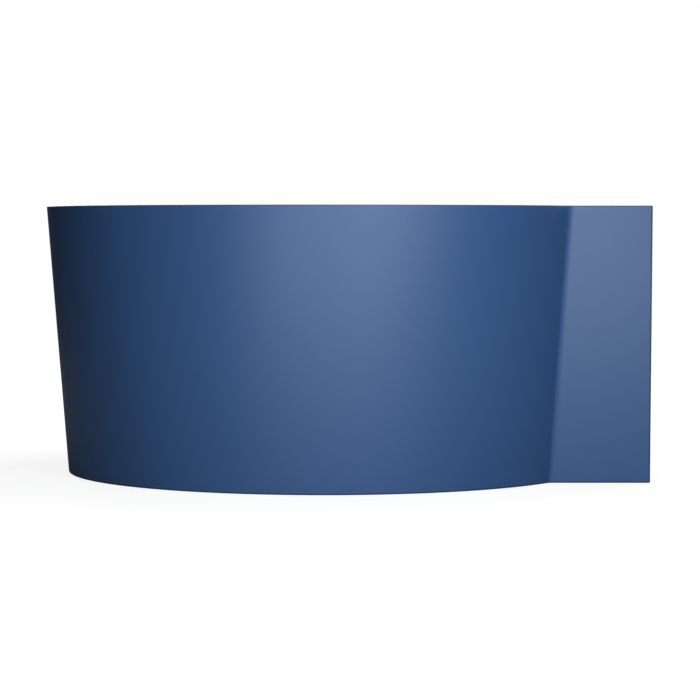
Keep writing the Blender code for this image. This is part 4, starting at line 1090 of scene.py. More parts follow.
# %% Nuts
NUT_SIDES = 6
NUT_CHAMFER = 0.12
NUT_CHAMFER_ANGLE = math.radians(30)
RAIL_NUT_RADIUS = 0.012
RAIL_NUT_HEIGHT = 0.014
LOCK_NUT_RADIUS = 0.010
LOCK_NUT_HEIGHT = 0.008
RAIL_NUT_TOP = RAIL_BOTTOM - GAP
RAIL_NUT_LOW = RAIL_NUT_TOP - RAIL_NUT_HEIGHT
LOCK_NUT_TOP = RAIL_NUT_LOW - GAP
LOCK_NUT_LOW = LOCK_NUT_TOP - LOCK_NUT_HEIGHT


def hexagon(name, radius, low, high):
    """A six-sided prism whose corners are turned down at both ends."""
    chamfer = NUT_CHAMFER * radius
    drop = chamfer * math.tan(NUT_CHAMFER_ANGLE)
    wide = radius + GAP
    lens = [(0.0, high), (radius - chamfer, high), (wide, high - drop), (wide, low + drop),
            (radius - chamfer, low), (0.0, low)]
    return combine(turn(name, rod(radius, low, high), NUT_SIDES), turn("lens", lens), "INTERSECT")


def nut(name, radius, low, high):
    bore_section = rod(SPINDLE_RADIUS + GAP, low - GAP, high + GAP)
    return drill(hexagon(name, radius, low, high), bore_section, steps=SMALL_STEPS)


rail_nut = nut("foot_nut", RAIL_NUT_RADIUS, RAIL_NUT_LOW, RAIL_NUT_TOP)
lock_nut = nut("foot_lock", LOCK_NUT_RADIUS, LOCK_NUT_LOW, LOCK_NUT_TOP)
print("nuts", len(rail_nut.data.polygons), "and", len(lock_nut.data.polygons), "faces")

# %% [markdown]
# The spindle is a rod with a screw thread. A thread could be painted on as a bump, but it shows in outline
# when the foot is seen close up, so a small triangle is drawn in section and the Screw modifier winds it up
# the rod at the pitch of a ten-millimetre thread. Below it a six-sided collar takes a spanner, and a round
# end sits in the pad.

# %% Spindle
THREAD_PITCH = 0.0015
THREAD_DEPTH = 0.0008
THREAD_STEPS = 20
PAD_HEIGHT = 0.012
PAD_SOCKET_RADIUS = 0.0065
PAD_SOCKET_FLOOR = 0.005
COLLAR_RADIUS = 0.009
COLLAR_HEIGHT = 0.007
COLLAR_LOW = PAD_HEIGHT + GAP
COLLAR_TOP = COLLAR_LOW + COLLAR_HEIGHT
SPINDLE_HEADROOM = 0.003
SPINDLE_TOP = RAIL_TOP - TUBE_WALL - SPINDLE_HEADROOM


def thread(root, low, high):
    """A ridge wound round a rod."""
    turns = int((high - low) / THREAD_PITCH) - 1
    crest = (SPINDLE_RADIUS, low + THREAD_PITCH / 2)
    ridge = draw_section("ridge", [(root, low), crest, (root, low + THREAD_PITCH)], closed=True)
    put_down()
    modify(ridge, "SCREW", axis="Z", steps=THREAD_STEPS, render_steps=THREAD_STEPS, iterations=turns,
           screw_offset=THREAD_PITCH)
    take(ridge, editing=True)
    pick(ridge, "edges", lambda edge: edge.is_boundary)
    bpy.ops.mesh.fill_holes(sides=4)
    face_outwards()
    put_down()
    return ridge


def spindle(name):
    root = SPINDLE_RADIUS - THREAD_DEPTH
    end = PAD_SOCKET_RADIUS - GAP
    foot = PAD_SOCKET_FLOOR + GAP
    core = [(0.0, SPINDLE_TOP), (root - THREAD_DEPTH, SPINDLE_TOP), (root, SPINDLE_TOP - THREAD_PITCH),
            (root, COLLAR_TOP - THREAD_PITCH), (end, COLLAR_LOW + THREAD_PITCH), (end, foot + GAP),
            (end - GAP, foot), (0.0, foot)]
    collar = hexagon("collar", COLLAR_RADIUS, COLLAR_LOW, COLLAR_TOP)
    made = combine(turn(name, core, SMALL_STEPS), collar, "UNION")
    return attach(made, thread(root, COLLAR_TOP, SPINDLE_TOP))


foot_screw = spindle("foot_screw")
print("spindle", len(foot_screw.data.polygons), "faces")

# %% [markdown]
# The pad is a low cone of black plastic with a socket on top. Fingers turn it, so every fourth face round
# its slope is inset and pushed in. Then all four feet are copied from the one that was modelled.

# %% Pad and feet
PAD_RADIUS = 0.025
PAD_EDGE = 0.0008
PAD_GROOVE_EVERY = 4
PAD_GROOVE_MARGIN = 0.0006
PAD_GROOVE_DEPTH = 0.0009
SLOPE_LEAST, SLOPE_MOST = 0.3, 0.97
SLOPE_AREA = 0.00002


def step_of(point, steps):
    """Which of a lathe's steps a point lies in, counted round the axis."""
    return int(round(math.atan2(point.y, point.x) / math.tau * steps - 0.5))


def on_slope(face):
    return SLOPE_LEAST < face.normal.z < SLOPE_MOST and face.calc_area() > SLOPE_AREA


def pad(name):
    """A floor pad with a socket on top and a ring of finger grooves round its slope."""
    section = [(0.0, PAD_SOCKET_FLOOR), (PAD_SOCKET_RADIUS, PAD_SOCKET_FLOOR),
               (PAD_SOCKET_RADIUS, PAD_HEIGHT), (PAD_RADIUS / 2, PAD_HEIGHT),
               (PAD_RADIUS, PAD_HEIGHT / 2), (PAD_RADIUS, 0.0), (0.0, 0.0)]
    made = take(turn(name, section, rounding=PAD_EDGE), editing=True)
    pick(made, "faces", lambda face: (
        on_slope(face) and step_of(middle_of(face), LATHE_STEPS) % PAD_GROOVE_EVERY == 0))
    bpy.ops.mesh.inset(thickness=PAD_GROOVE_MARGIN, depth=-PAD_GROOVE_DEPTH, use_individual=True)
    put_down()
    return made


feet = {"rail_nut_": (rail_nut, STEEL), "lock_nut_": (lock_nut, STEEL),
        "foot_spindle_": (foot_screw, STEEL), "foot_pad_": (pad("foot_base"), BLACK)}
for prefix, (master, finish) in feet.items():
    for end, reach in (("front_", -FOOT_FRONT), ("back_", FOOT_BACK)):
        for side, sign in SIDES.items():
            foot = copy_of(master, master.name + "_" + end + side, at(reach, sign * RAIL_SPREAD))
            stand_for(foot, prefix + end + side, finish)
    bpy.data.objects.remove(master)

# %% [markdown]
# ## Pop-up waste
# The waste clamps the bowl's floor between a chrome flange above and a plastic body below, each on a rubber
# ring. A ring could be a plain washer, but rubber bulges where it is squeezed, so its edges are rounded by a
# share of its height.

# %% Rubber rings
GASKET_HEIGHT = 0.002
LOWER_GASKET_HEIGHT = 0.003
GASKET_INSET = 0.001
GASKET_SQUEEZE = 0.3
GASKET_SEGMENTS = 3
FLANGE_RADIUS = 0.035
FLANGE_SEAT = FLOOR_HEIGHT + GASKET_HEIGHT + 2 * GAP
NECK_RADIUS = 0.0247
WASTE_FLANGE_RADIUS = 0.036
WASTE_TOP = FLOOR_UNDERSIDE - LOWER_GASKET_HEIGHT - 2 * GAP


def rubber_ring(name, node, inner, outer, low, high, place):
    """A flat ring whose edges are rounded as if squeezed."""
    bulge = GASKET_SQUEEZE * (high - low)
    made = turn(name, ring(inner, outer, low, high), FINE_STEPS, bulge, GASKET_SEGMENTS, place=place)
    stand_for(made, node, RUBBER)


rubber_ring("upper_ring", "drain_gasket_upper", NECK_RADIUS + GAP, FLANGE_RADIUS - GASKET_INSET,
            FLOOR_HEIGHT + GAP, FLANGE_SEAT - GAP, AT_DRAIN)
rubber_ring("lower_ring", "drain_gasket_lower", NECK_RADIUS + GAP, WASTE_FLANGE_RADIUS - GASKET_INSET,
            WASTE_TOP + GAP, FLOOR_UNDERSIDE - GAP, AT_DRAIN)

# %% [markdown]
# Across the flange's neck runs a bar with a hub that guides the plug's stem. Every round part is turned with
# its edges already rounded, and only then joined, because the seams of a casting are where the rounds meet.

# %% Flange
FLANGE_HEIGHT = 0.004
FLANGE_LIP = 0.002
FLANGE_DISH = 0.0016
FLANGE_BRIM = 0.001
FLANGE_EDGE = 0.0005
FLANGE_TOP = FLANGE_SEAT + FLANGE_HEIGHT
NECK_BORE = 0.021
PIPE_RADIUS = 0.020
SOCKET_RADIUS = 0.023
UNION_WALL = 0.004
UNION_CLEARANCE = 0.0024
PIPE_AXIS = BOARD_BOTTOM - UNION_CLEARANCE - UNION_WALL - GAP - SOCKET_RADIUS
GUIDE_CLEARANCE = 0.011
GUIDE_HEIGHT = 0.006
GUIDE_TOP = PIPE_AXIS + PIPE_RADIUS + GUIDE_CLEARANCE
GUIDE_LOW = GUIDE_TOP - GUIDE_HEIGHT
GUIDE_BAR_HALF = 0.002
GUIDE_HUB_RADIUS = 0.008
STEM_RADIUS = 0.004
CHROME_SEGMENTS = 3
flange_section = [(NECK_BORE, FLANGE_TOP - FLANGE_DISH), (NECK_BORE + FLANGE_LIP, FLANGE_TOP),
                  (FLANGE_RADIUS - FLANGE_LIP, FLANGE_TOP), (FLANGE_RADIUS, FLANGE_SEAT + FLANGE_BRIM),
                  (FLANGE_RADIUS, FLANGE_SEAT), (NECK_RADIUS, FLANGE_SEAT),
                  (NECK_RADIUS, GUIDE_LOW), (NECK_BORE, GUIDE_LOW)]
flange = turn("chrome_flange", flange_section, FINE_STEPS, FLANGE_EDGE, CHROME_SEGMENTS)
neck_middle = (NECK_BORE + NECK_RADIUS) / 2
bar = slab("bar", (-GUIDE_BAR_HALF, -neck_middle, GUIDE_LOW), (GUIDE_BAR_HALF, neck_middle, GUIDE_TOP))
combine(flange, bar, "UNION")
combine(flange, turn("hub", rod(GUIDE_HUB_RADIUS, GUIDE_LOW, GUIDE_TOP), SMALL_STEPS), "UNION")
drill(flange, rod(STEM_RADIUS + GAP, GUIDE_LOW - GAP, GUIDE_TOP + GAP), steps=SMALL_STEPS)
stand_for(settle(flange, AT_DRAIN), "drain_flange", CHROME)

# %% [markdown]
# The plug is a shallow chrome dome on a stem, with a rubber ring under its edge. The dome is turned from a
# curve with many short steps, so that it shines as one even bulge.

# %% Plug
SEAL_INNER = 0.023
SEAL_OUTER = 0.029
SEAL_HEIGHT = 0.0025
PLUG_RADIUS = 0.030
PLUG_RIM = 0.003
PLUG_CROWN = 0.003
PLUG_EDGE = 0.0007
PLUG_LIFT = 0.008
PLUG_UNDERSIDE = FLANGE_TOP + SEAL_HEIGHT + 2 * GAP
PLUG_RIM_TOP = PLUG_UNDERSIDE + PLUG_RIM
LIFT_DROP = 0.006
LIFT_LEVEL = PIPE_AXIS - LIFT_DROP
TIP_RADIUS = 0.003
STEM_END = LIFT_LEVEL - PLUG_LIFT / 2 + TIP_RADIUS + GAP
DOME_STEPS = 8
dome = [(PLUG_RADIUS * step / DOME_STEPS, PLUG_RIM_TOP + PLUG_CROWN * (1.0 - (step / DOME_STEPS) ** 2))
        for step in range(DOME_STEPS + 1)]
plug_section = dome + [(PLUG_RADIUS, PLUG_UNDERSIDE), (STEM_RADIUS, PLUG_UNDERSIDE), (STEM_RADIUS, STEM_END),
                       (0.0, STEM_END)]
plug = turn("chrome_plug", plug_section, FINE_STEPS, PLUG_EDGE, CHROME_SEGMENTS, place=AT_DRAIN)
stand_for(plug, "plug", CHROME)
rubber_ring("plug_ring", "plug_seal", SEAL_INNER, SEAL_OUTER,
            FLANGE_TOP + GAP, PLUG_UNDERSIDE - GAP, AT_DRAIN)

# %% [markdown]
# The body below is a cup with a spigot towards the drain line and a block that holds the end of the cable's
# sheath. It is built up like a moulding: the outsides are joined first and the hollows are cut afterwards,
# so that no wall is left across a passage.

# %% Waste body
SOCKET_BORE = 0.0203
SOCKET_DEPTH = 0.018
SPIGOT_REACH = 0.055
WASTE_RADIUS = 0.030
WASTE_WALL = 0.0045
WASTE_BRIM = 0.004
WASTE_CHAMFER = 0.004
WASTE_DROP = 0.029
WASTE_BOTTOM = PIPE_AXIS - WASTE_DROP
WASTE_MOUTH = DRAIN_REACH + SPIGOT_REACH
LIFT_PIVOT = 0.017
LIFT_PIN_RADIUS = 0.002
CRANK_PLACE = 0.0315
STOP_START = DRAIN_REACH + WASTE_RADIUS
STOP_LENGTH = 0.010
STOP_HALF = 0.006
STOP_PLACE = 0.035
STOP_RISE = 0.008
STOP_LEVEL = PIPE_AXIS + STOP_RISE
MOULDED_EDGE = 0.0008


def along(reach, forwards=True):
    """A place on the drain line that faces along it, or back."""
    quarter = math.pi / 2 if forwards else -math.pi / 2
    return at(reach, level=PIPE_AXIS) @ Matrix.Rotation(quarter, 4, "Y")


ALONG = along(0.0)
AT_LIFT = at(DRAIN_REACH + LIFT_PIVOT, level=LIFT_LEVEL)
ACROSS_LIFT = AT_LIFT @ Matrix.Rotation(-math.pi / 2, 4, "X")
cup = [(0.0, WASTE_TOP), (WASTE_FLANGE_RADIUS, WASTE_TOP), (WASTE_FLANGE_RADIUS, WASTE_TOP - WASTE_BRIM),
       (WASTE_RADIUS, WASTE_TOP - WASTE_BRIM), (WASTE_RADIUS, WASTE_BOTTOM + WASTE_CHAMFER),
       (WASTE_RADIUS - WASTE_CHAMFER, WASTE_BOTTOM), (0.0, WASTE_BOTTOM)]
waste = turn("moulded_waste", cup, FINE_STEPS, MOULDED_EDGE, place=AT_DRAIN)
spigot = rod(SOCKET_RADIUS, DRAIN_REACH, WASTE_MOUTH)
combine(waste, turn("spigot", spigot, rounding=MOULDED_EDGE, place=ALONG), "UNION")
stop = slab("stop", (STOP_START, SOCKET_RADIUS / 2, STOP_LEVEL - STOP_HALF),
            (STOP_START + STOP_LENGTH, STOP_PLACE + STOP_HALF, STOP_LEVEL + STOP_HALF))
combine(waste, settle(round_edges(stop, MOULDED_EDGE), TO_CORNER), "UNION")
hollow = rod(WASTE_RADIUS - WASTE_WALL, WASTE_BOTTOM + WASTE_WALL, WASTE_TOP + WASTE_WALL)
drill(waste, hollow, AT_DRAIN, FINE_STEPS)
drill(waste, rod(LIFT_PIN_RADIUS + GAP, 0.0, CRANK_PLACE), ACROSS_LIFT, DRILL_STEPS)
drill(waste, rod(SOCKET_BORE, DRAIN_REACH, WASTE_MOUTH + GAP), ALONG)
stand_for(waste, "waste_body", PLASTIC)

# %% [markdown]
# Through the body's side runs the lift shaft: a pin with a finger inside, under the plug's stem, and a
# crank outside for the cable. The finger leans down by the angle that brings it level when the plug is half
# way up, and the crank leans with it.

# %% Lift shaft
LIFT_ANGLE = math.atan(PLUG_LIFT / 2 / LIFT_PIVOT)
PIN_EDGE = 0.0003
FINGER_EDGE = 0.0005
TIP_HALF = 0.9 * TIP_RADIUS
TIP_EDGE = 0.0004
CRANK_HALF = 0.003
CRANK_LENGTH = 0.014
CRANK_SHEET_HALF = 0.002
CRANK_EDGE = 0.0006
CRANK_END = CRANK_PLACE + CRANK_SHEET_HALF
EYE_RADIUS = 0.0012
EYE_DRILL_HALF = 0.01
AT_LEAN = AT_LIFT @ Matrix.Rotation(-LIFT_ANGLE, 4, "Y")
AT_TIP = ACROSS_LIFT @ Matrix.Translation((-LIFT_PIVOT, PLUG_LIFT / 2, 0.0))
AT_EYE = (Matrix.Translation((0.0, CRANK_PLACE, CRANK_LENGTH - CRANK_HALF))
          @ Matrix.Rotation(math.pi / 2, 4, "X"))
arm = LIFT_PIVOT / math.cos(LIFT_ANGLE)
pin = rod(LIFT_PIN_RADIUS, -2 * TIP_RADIUS, CRANK_END)
shaft = turn("lift_pin", pin, SMALL_STEPS, PIN_EDGE, place=ACROSS_LIFT)
finger = slab("finger", (-arm, -TIP_RADIUS, -LIFT_PIN_RADIUS), (LIFT_PIN_RADIUS, TIP_RADIUS, LIFT_PIN_RADIUS))
combine(shaft, settle(round_edges(finger, FINGER_EDGE), AT_LEAN), "UNION")
tip = turn("tip", rod(TIP_RADIUS, -TIP_HALF, TIP_HALF), SMALL_STEPS, TIP_EDGE, place=AT_TIP)
combine(shaft, tip, "UNION")
crank = slab("crank", (-CRANK_HALF, CRANK_PLACE - CRANK_SHEET_HALF, -CRANK_HALF),
             (CRANK_HALF, CRANK_END - GAP, CRANK_LENGTH))
drill(round_edges(crank, CRANK_EDGE), rod(EYE_RADIUS, -EYE_DRILL_HALF, EYE_DRILL_HALF), AT_EYE, DRILL_STEPS)
combine(shaft, settle(crank, AT_LEAN), "UNION")
stand_for(shaft, "lift_shaft", STEEL)

# %% [markdown]
# ## Drain line
# From the waste a 40 mm pipe runs to a tee, where the overflow comes down, then into a bottle trap and out
# towards the wall. Pipes are turned tubes with a slight round on their cut ends, laid along the diagonal.

# %% Pipes
PIPE_WALL = 0.002
PIPE_BURR = 0.0004
TEE_HALF = 0.035
TEE_REACH = OVERFLOW_REACH + 0.0305
TEE_LOW = TEE_REACH - TEE_HALF
TEE_HIGH = TEE_REACH + TEE_HALF
TRAP_REACH = TEE_REACH + 0.118
TRAP_MOUTH = TRAP_REACH + 0.063
OUTLET_END = TRAP_MOUTH + 0.152


def pipe(name, node, radius, low, high, place):
    section = ring(radius - PIPE_WALL, radius, low, high)
    stand_for(turn(name, section, rounding=PIPE_BURR, place=place), node, PLASTIC)


pipe("waste_tube", "waste_pipe", PIPE_RADIUS, WASTE_MOUTH - SOCKET_DEPTH, TEE_LOW + SOCKET_DEPTH, ALONG)
pipe("outlet_tube", "outlet_pipe", PIPE_RADIUS, TRAP_MOUTH - SOCKET_DEPTH, OUTLET_END, ALONG)

# %% [markdown]
# Sockets are held by union nuts. Fingers need a grip on those, so every second face round a nut is inset and
# pushed in. One nut is modelled for each pipe size and copied to its places.

# %% Union nuts
UNION_SKIRT = 0.014
UNION_EDGE = 0.0007
GRIP_EVERY = 2
GRIP_MARGIN = 0.0004
GRIP_DEPTH = 0.0008
GRIP_TOLERANCE = 0.0005
UPRIGHT_ENOUGH = 0.1


def grip(piece, radius, steps):
    """Pushes in every second face round a turned piece's rim."""
    take(piece, editing=True)

    def on_rim_face(face):
        middle = middle_of(face)
        return (abs(face.normal.z) < UPRIGHT_ENOUGH and abs(middle.xy.length - radius) < GRIP_TOLERANCE
                and step_of(middle, steps) % GRIP_EVERY == 0 and face.normal.xy.dot(middle.xy) > 0.0)

    count = pick(piece, "faces", on_rim_face)
    bpy.ops.mesh.inset(thickness=GRIP_MARGIN, depth=-GRIP_DEPTH, use_individual=True)
    put_down()
    print(piece.name, "has", count, "grip faces")
    return piece


def union_nuts(pipe_radius, socket_radius, places):
    """Nuts over the mouths of sockets, each at its own zero level and facing up there."""
    outer = socket_radius + UNION_WALL + GAP
    top = GAP + UNION_WALL
    section = [(outer, top), (outer, -UNION_SKIRT), (socket_radius + GAP, -UNION_SKIRT),
               (socket_radius + GAP, GAP), (pipe_radius + GAP, GAP), (pipe_radius + GAP, top)]
    master = grip(turn("ribbed_nut", section, rounding=UNION_EDGE), outer, LATHE_STEPS)
    for node, place in places.items():
        stand_for(copy_of(master, node + "_ribbed", place), node, PLASTIC)
    bpy.data.objects.remove(master)


union_nuts(PIPE_RADIUS, SOCKET_RADIUS, {
    "waste_nut": along(WASTE_MOUTH), "tee_inlet_nut": along(TEE_LOW, forwards=False),
    "trap_inlet_nut": along(TEE_HIGH), "outlet_nut": along(TRAP_MOUTH)})

# %% [markdown]
# The tee and the trap are joined from turned solids and then bored, run first and branch second, so that
# each bore opens into the other. Their solids are closed and cross at right angles, where the Manifold
# solver leaves no open edges.

# %% Tee
BRANCH_RISE = 0.049
BRANCH_TOP = PIPE_AXIS + BRANCH_RISE
OVERFLOW_PIPE_RADIUS = 0.016
BRANCH_WALL = 0.0027
BRANCH_BORE = OVERFLOW_PIPE_RADIUS + GAP
BRANCH_RADIUS = BRANCH_BORE + BRANCH_WALL
AT_TEE = at(TEE_REACH)


def add(piece, section, place):
    """Joins a turned solid to a moulding."""
    added = turn("added", section, rounding=MOULDED_EDGE, place=place)
    return combine(piece, added, "UNION", "MANIFOLD")


def bore(piece, section, place):
    """Cuts a turned passage into a moulding."""
    return combine(piece, turn("bored", section, place=place), "DIFFERENCE", "MANIFOLD")


tee = turn("moulded_tee", rod(SOCKET_RADIUS, TEE_LOW, TEE_HIGH), rounding=MOULDED_EDGE, place=ALONG)
add(tee, rod(BRANCH_RADIUS, PIPE_AXIS, BRANCH_TOP), AT_TEE)
bore(tee, rod(SOCKET_BORE, TEE_LOW - GAP, TEE_HIGH + GAP), ALONG)
bore(tee, rod(BRANCH_BORE, PIPE_AXIS, BRANCH_TOP + GAP), AT_TEE)
stand_for(tee, "drain_tee", PLASTIC)

# %% [markdown]
# The trap is a bottle. Water comes in on one side and leaves on the other, and what stays in it keeps the
# smell of the drain out. It is turned like the tee, hollowed from above, and bored from both sides.

# %% Trap
TRAP_RADIUS = 0.038
TRAP_WALL = 0.0035
TRAP_RISE = 0.034
TRAP_DROP = 0.056
TRAP_CHAMFER = 0.005
TRAP_TOP = PIPE_AXIS + TRAP_RISE
TRAP_BOTTOM = PIPE_AXIS - TRAP_DROP
TRAP_INLET = TEE_HIGH - SOCKET_DEPTH
AT_TRAP = at(TRAP_REACH)
bottle = [(0.0, TRAP_TOP), (TRAP_RADIUS, TRAP_TOP), (TRAP_RADIUS, TRAP_BOTTOM + TRAP_CHAMFER),
          (TRAP_RADIUS - TRAP_CHAMFER, TRAP_BOTTOM), (0.0, TRAP_BOTTOM)]
trap = turn("moulded_trap", bottle, FINE_STEPS, MOULDED_EDGE, place=AT_TRAP)
add(trap, rod(PIPE_RADIUS, TRAP_INLET, TRAP_REACH), ALONG)
add(trap, rod(SOCKET_RADIUS, TRAP_REACH, TRAP_MOUTH), ALONG)
bore(trap, rod(TRAP_RADIUS - TRAP_WALL, TRAP_BOTTOM + TRAP_WALL, TRAP_TOP + TRAP_WALL), AT_TRAP)
bore(trap, rod(PIPE_RADIUS - PIPE_WALL, TRAP_INLET - GAP, TRAP_REACH), ALONG)
bore(trap, rod(SOCKET_BORE, TRAP_REACH, TRAP_MOUTH + GAP), ALONG)
stand_for(trap, "trap_body", PLASTIC)

# %% [markdown]
# The bottle is open at the top for cleaning, and a cap closes it. The cap's face is dished, a plug under it
# reaches down into the bottle, and its rim has the same grip as the nuts.

# %% Trap cap
CAP_RADIUS = 0.040
CAP_HEIGHT = 0.008
CAP_LOW = TRAP_TOP + GAP
CAP_TOP = CAP_LOW + CAP_HEIGHT
CAP_DISH_FLOOR = CAP_TOP - 0.002
CAP_DISH_INNER = 0.6 * CAP_RADIUS
CAP_DISH_OUTER = 0.65 * CAP_RADIUS
CAP_EDGE = 0.0007
CAP_PLUG_RADIUS = TRAP_RADIUS - TRAP_WALL - GAP
CAP_PLUG_END = TRAP_TOP - 0.008
cap_section = [(0.0, CAP_DISH_FLOOR), (CAP_DISH_INNER, CAP_DISH_FLOOR), (CAP_DISH_OUTER, CAP_TOP),
               (CAP_RADIUS, CAP_TOP), (CAP_RADIUS, CAP_LOW), (CAP_PLUG_RADIUS, CAP_LOW),
               (CAP_PLUG_RADIUS, CAP_PLUG_END), (0.0, CAP_PLUG_END)]
cap = grip(turn("ribbed_cap", cap_section, FINE_STEPS, CAP_EDGE), CAP_RADIUS, FINE_STEPS)
stand_for(settle(cap, AT_TRAP), "trap_cap", PLASTIC)

# %% [markdown]
# ## Overflow
# High on the bowl's side, above the waste, sits the overflow. A chrome plate with four holes lets the water
# in, and a round knob in front of it works the waste below by a cable. All of it is turned about one axis,
# square to the sloping side. The solid bowl is a ring of flats, and the plate's seat clears the bend between
# two of them.

# %% Overflow plate
PLATE_RADIUS = 0.030
PLATE_HEIGHT = 0.003
PLATE_EDGE = 0.0006
BOWL_FLATS = 64
OVERFLOW_SEAT = PLATE_RADIUS * math.tan(math.pi / BOWL_FLATS) + GAP
PLATE_TOP = OVERFLOW_SEAT + PLATE_HEIGHT
OVERFLOW_NECK = 0.0247
OVERFLOW_NECK_BORE = 0.0225
OVERFLOW_NECK_END = -0.028
KNOB_SPINDLE = 0.004
SLOT_RADIUS = 0.006
SLOT_CIRCLE = 0.0145
SLOT_COUNT = 4
plate_section = [(KNOB_SPINDLE + GAP, PLATE_TOP), (PLATE_RADIUS, PLATE_TOP), (PLATE_RADIUS, OVERFLOW_SEAT),
                 (OVERFLOW_NECK, OVERFLOW_SEAT), (OVERFLOW_NECK, OVERFLOW_NECK_END),
                 (OVERFLOW_NECK_BORE, OVERFLOW_NECK_END), (OVERFLOW_NECK_BORE, OVERFLOW_SEAT),
                 (KNOB_SPINDLE + GAP, OVERFLOW_SEAT)]
plate = turn("chrome_plate", plate_section, FINE_STEPS, PLATE_EDGE, CHROME_SEGMENTS)
for index in range(SLOT_COUNT):
    heading = math.tau * (index + 0.5) / SLOT_COUNT
    spot = (SLOT_CIRCLE * math.cos(heading), SLOT_CIRCLE * math.sin(heading), 0.0)
    bore(plate, rod(SLOT_RADIUS, OVERFLOW_SEAT / 2, PLATE_TOP + OVERFLOW_SEAT), Matrix.Translation(spot))
stand_for(settle(plate, AT_OVERFLOW), "overflow_plate", CHROME)

# %% [markdown]
# The knob's edge is a coin edge, pushed in like the nuts but more finely. Its face is dished by less than a
# millimetre and falls away to the edge, and a groove in it points up while the waste is shut.

# %% Overflow knob
KNOB_RADIUS = 0.036
KNOB_STEPS = 72
KNOB_EDGE = 0.0006
KNOB_BACK = PLATE_TOP + 0.004
KNOB_FACE = KNOB_BACK + 0.012
KNOB_SPINDLE_END = -0.030
KNOB_CURVE = ((0.0, 0.0008), (0.6, 0.0003), (0.7, 0.0), (0.9, 0.003), (1.0, 0.006))
POINTER_HALF = 0.0009
POINTER_DEPTH = 0.0010
POINTER_START = 0.40 * KNOB_RADIUS
POINTER_END = 0.66 * KNOB_RADIUS
POINTER_EDGE = 0.8 * POINTER_HALF
POINTER_SEGMENTS = 3
knob_section = [(share * KNOB_RADIUS, KNOB_FACE - drop) for share, drop in KNOB_CURVE]
knob_section += [(KNOB_RADIUS, KNOB_BACK), (KNOB_SPINDLE, KNOB_BACK), (KNOB_SPINDLE, KNOB_SPINDLE_END),
                 (0.0, KNOB_SPINDLE_END)]
knob = turn("chrome_knob", knob_section, KNOB_STEPS, KNOB_EDGE, CHROME_SEGMENTS)
grip(knob, KNOB_RADIUS, KNOB_STEPS)
pointer = slab("pointer", (POINTER_START, -POINTER_HALF, KNOB_FACE - POINTER_DEPTH),
               (POINTER_END, POINTER_HALF, KNOB_FACE + POINTER_DEPTH))
combine(knob, round_edges(pointer, POINTER_EDGE, POINTER_SEGMENTS), "DIFFERENCE")
stand_for(settle(knob, AT_OVERFLOW), "overflow_knob", CHROME)

# %% [markdown]
# Behind the bowl a rubber ring seals the hole, and an elbow takes the water down into a 32 mm pipe. A boss on
# the elbow's side holds the cable's sheath. The elbow follows the slope of the bowl at one end and hangs
# upright at the other, so it is joined from two turned solids on two axes.

# %% Overflow ring, elbow and pipe
OVERFLOW_BACK = -SHELL - GASKET_HEIGHT - 2 * GAP
OVERFLOW_FLANGE = 0.034
rubber_ring("overflow_ring", "overflow_gasket", OVERFLOW_NECK + GAP, OVERFLOW_FLANGE - GASKET_INSET,
            OVERFLOW_BACK + GAP, -SHELL - GAP, AT_OVERFLOW)
ELBOW_RADIUS = 0.030
ELBOW_WALL = 0.003
ELBOW_MOUTH = OVERFLOW_LEVEL - 0.055
ELBOW_END = OVERFLOW_BACK - 0.036
BOSS_RADIUS = 0.005
BOSS_PLACE = ELBOW_RADIUS - 0.001
BOSS_END = OVERFLOW_LEVEL - 0.033
elbow_section = [(0.0, OVERFLOW_BACK), (OVERFLOW_FLANGE, OVERFLOW_BACK),
                 (OVERFLOW_FLANGE, OVERFLOW_BACK - ELBOW_WALL), (ELBOW_RADIUS, OVERFLOW_BACK - ELBOW_WALL),
                 (ELBOW_RADIUS, ELBOW_END + ELBOW_WALL), (ELBOW_RADIUS - ELBOW_WALL, ELBOW_END),
                 (0.0, ELBOW_END)]
elbow = turn("moulded_elbow", elbow_section, FINE_STEPS, MOULDED_EDGE, place=AT_OVERFLOW)
add(elbow, rod(BRANCH_RADIUS, ELBOW_MOUTH, OVERFLOW_LEVEL), AT_TEE)
add(elbow, rod(BOSS_RADIUS, BOSS_END, OVERFLOW_LEVEL), at(TEE_REACH, BOSS_PLACE))
bore(elbow, rod(ELBOW_RADIUS - ELBOW_WALL, ELBOW_END + ELBOW_WALL, OVERFLOW_BACK + ELBOW_WALL), AT_OVERFLOW)
bore(elbow, rod(BRANCH_BORE, ELBOW_MOUTH - GAP, OVERFLOW_LEVEL - ELBOW_WALL), AT_TEE)
stand_for(elbow, "overflow_elbow", PLASTIC)
pipe("overflow_tube", "overflow_pipe", OVERFLOW_PIPE_RADIUS,
     BRANCH_TOP - SOCKET_DEPTH, ELBOW_MOUTH + SOCKET_DEPTH, AT_TEE)
union_nuts(OVERFLOW_PIPE_RADIUS, BRANCH_RADIUS, {
    "overflow_top_nut": at(TEE_REACH, level=ELBOW_MOUTH) @ Matrix.Rotation(math.pi, 4, "X"),
    "overflow_low_nut": at(TEE_REACH, level=BRANCH_TOP)})

# %% [markdown]
# ## Control cable
# The cable runs in a sheath from the overflow's boss down beside the pipe and along the drain line to the
# waste. It is stiff, so it bends in long curves only. Its points are the same as the solid's, and a smooth
# curve goes through them, with a round section.

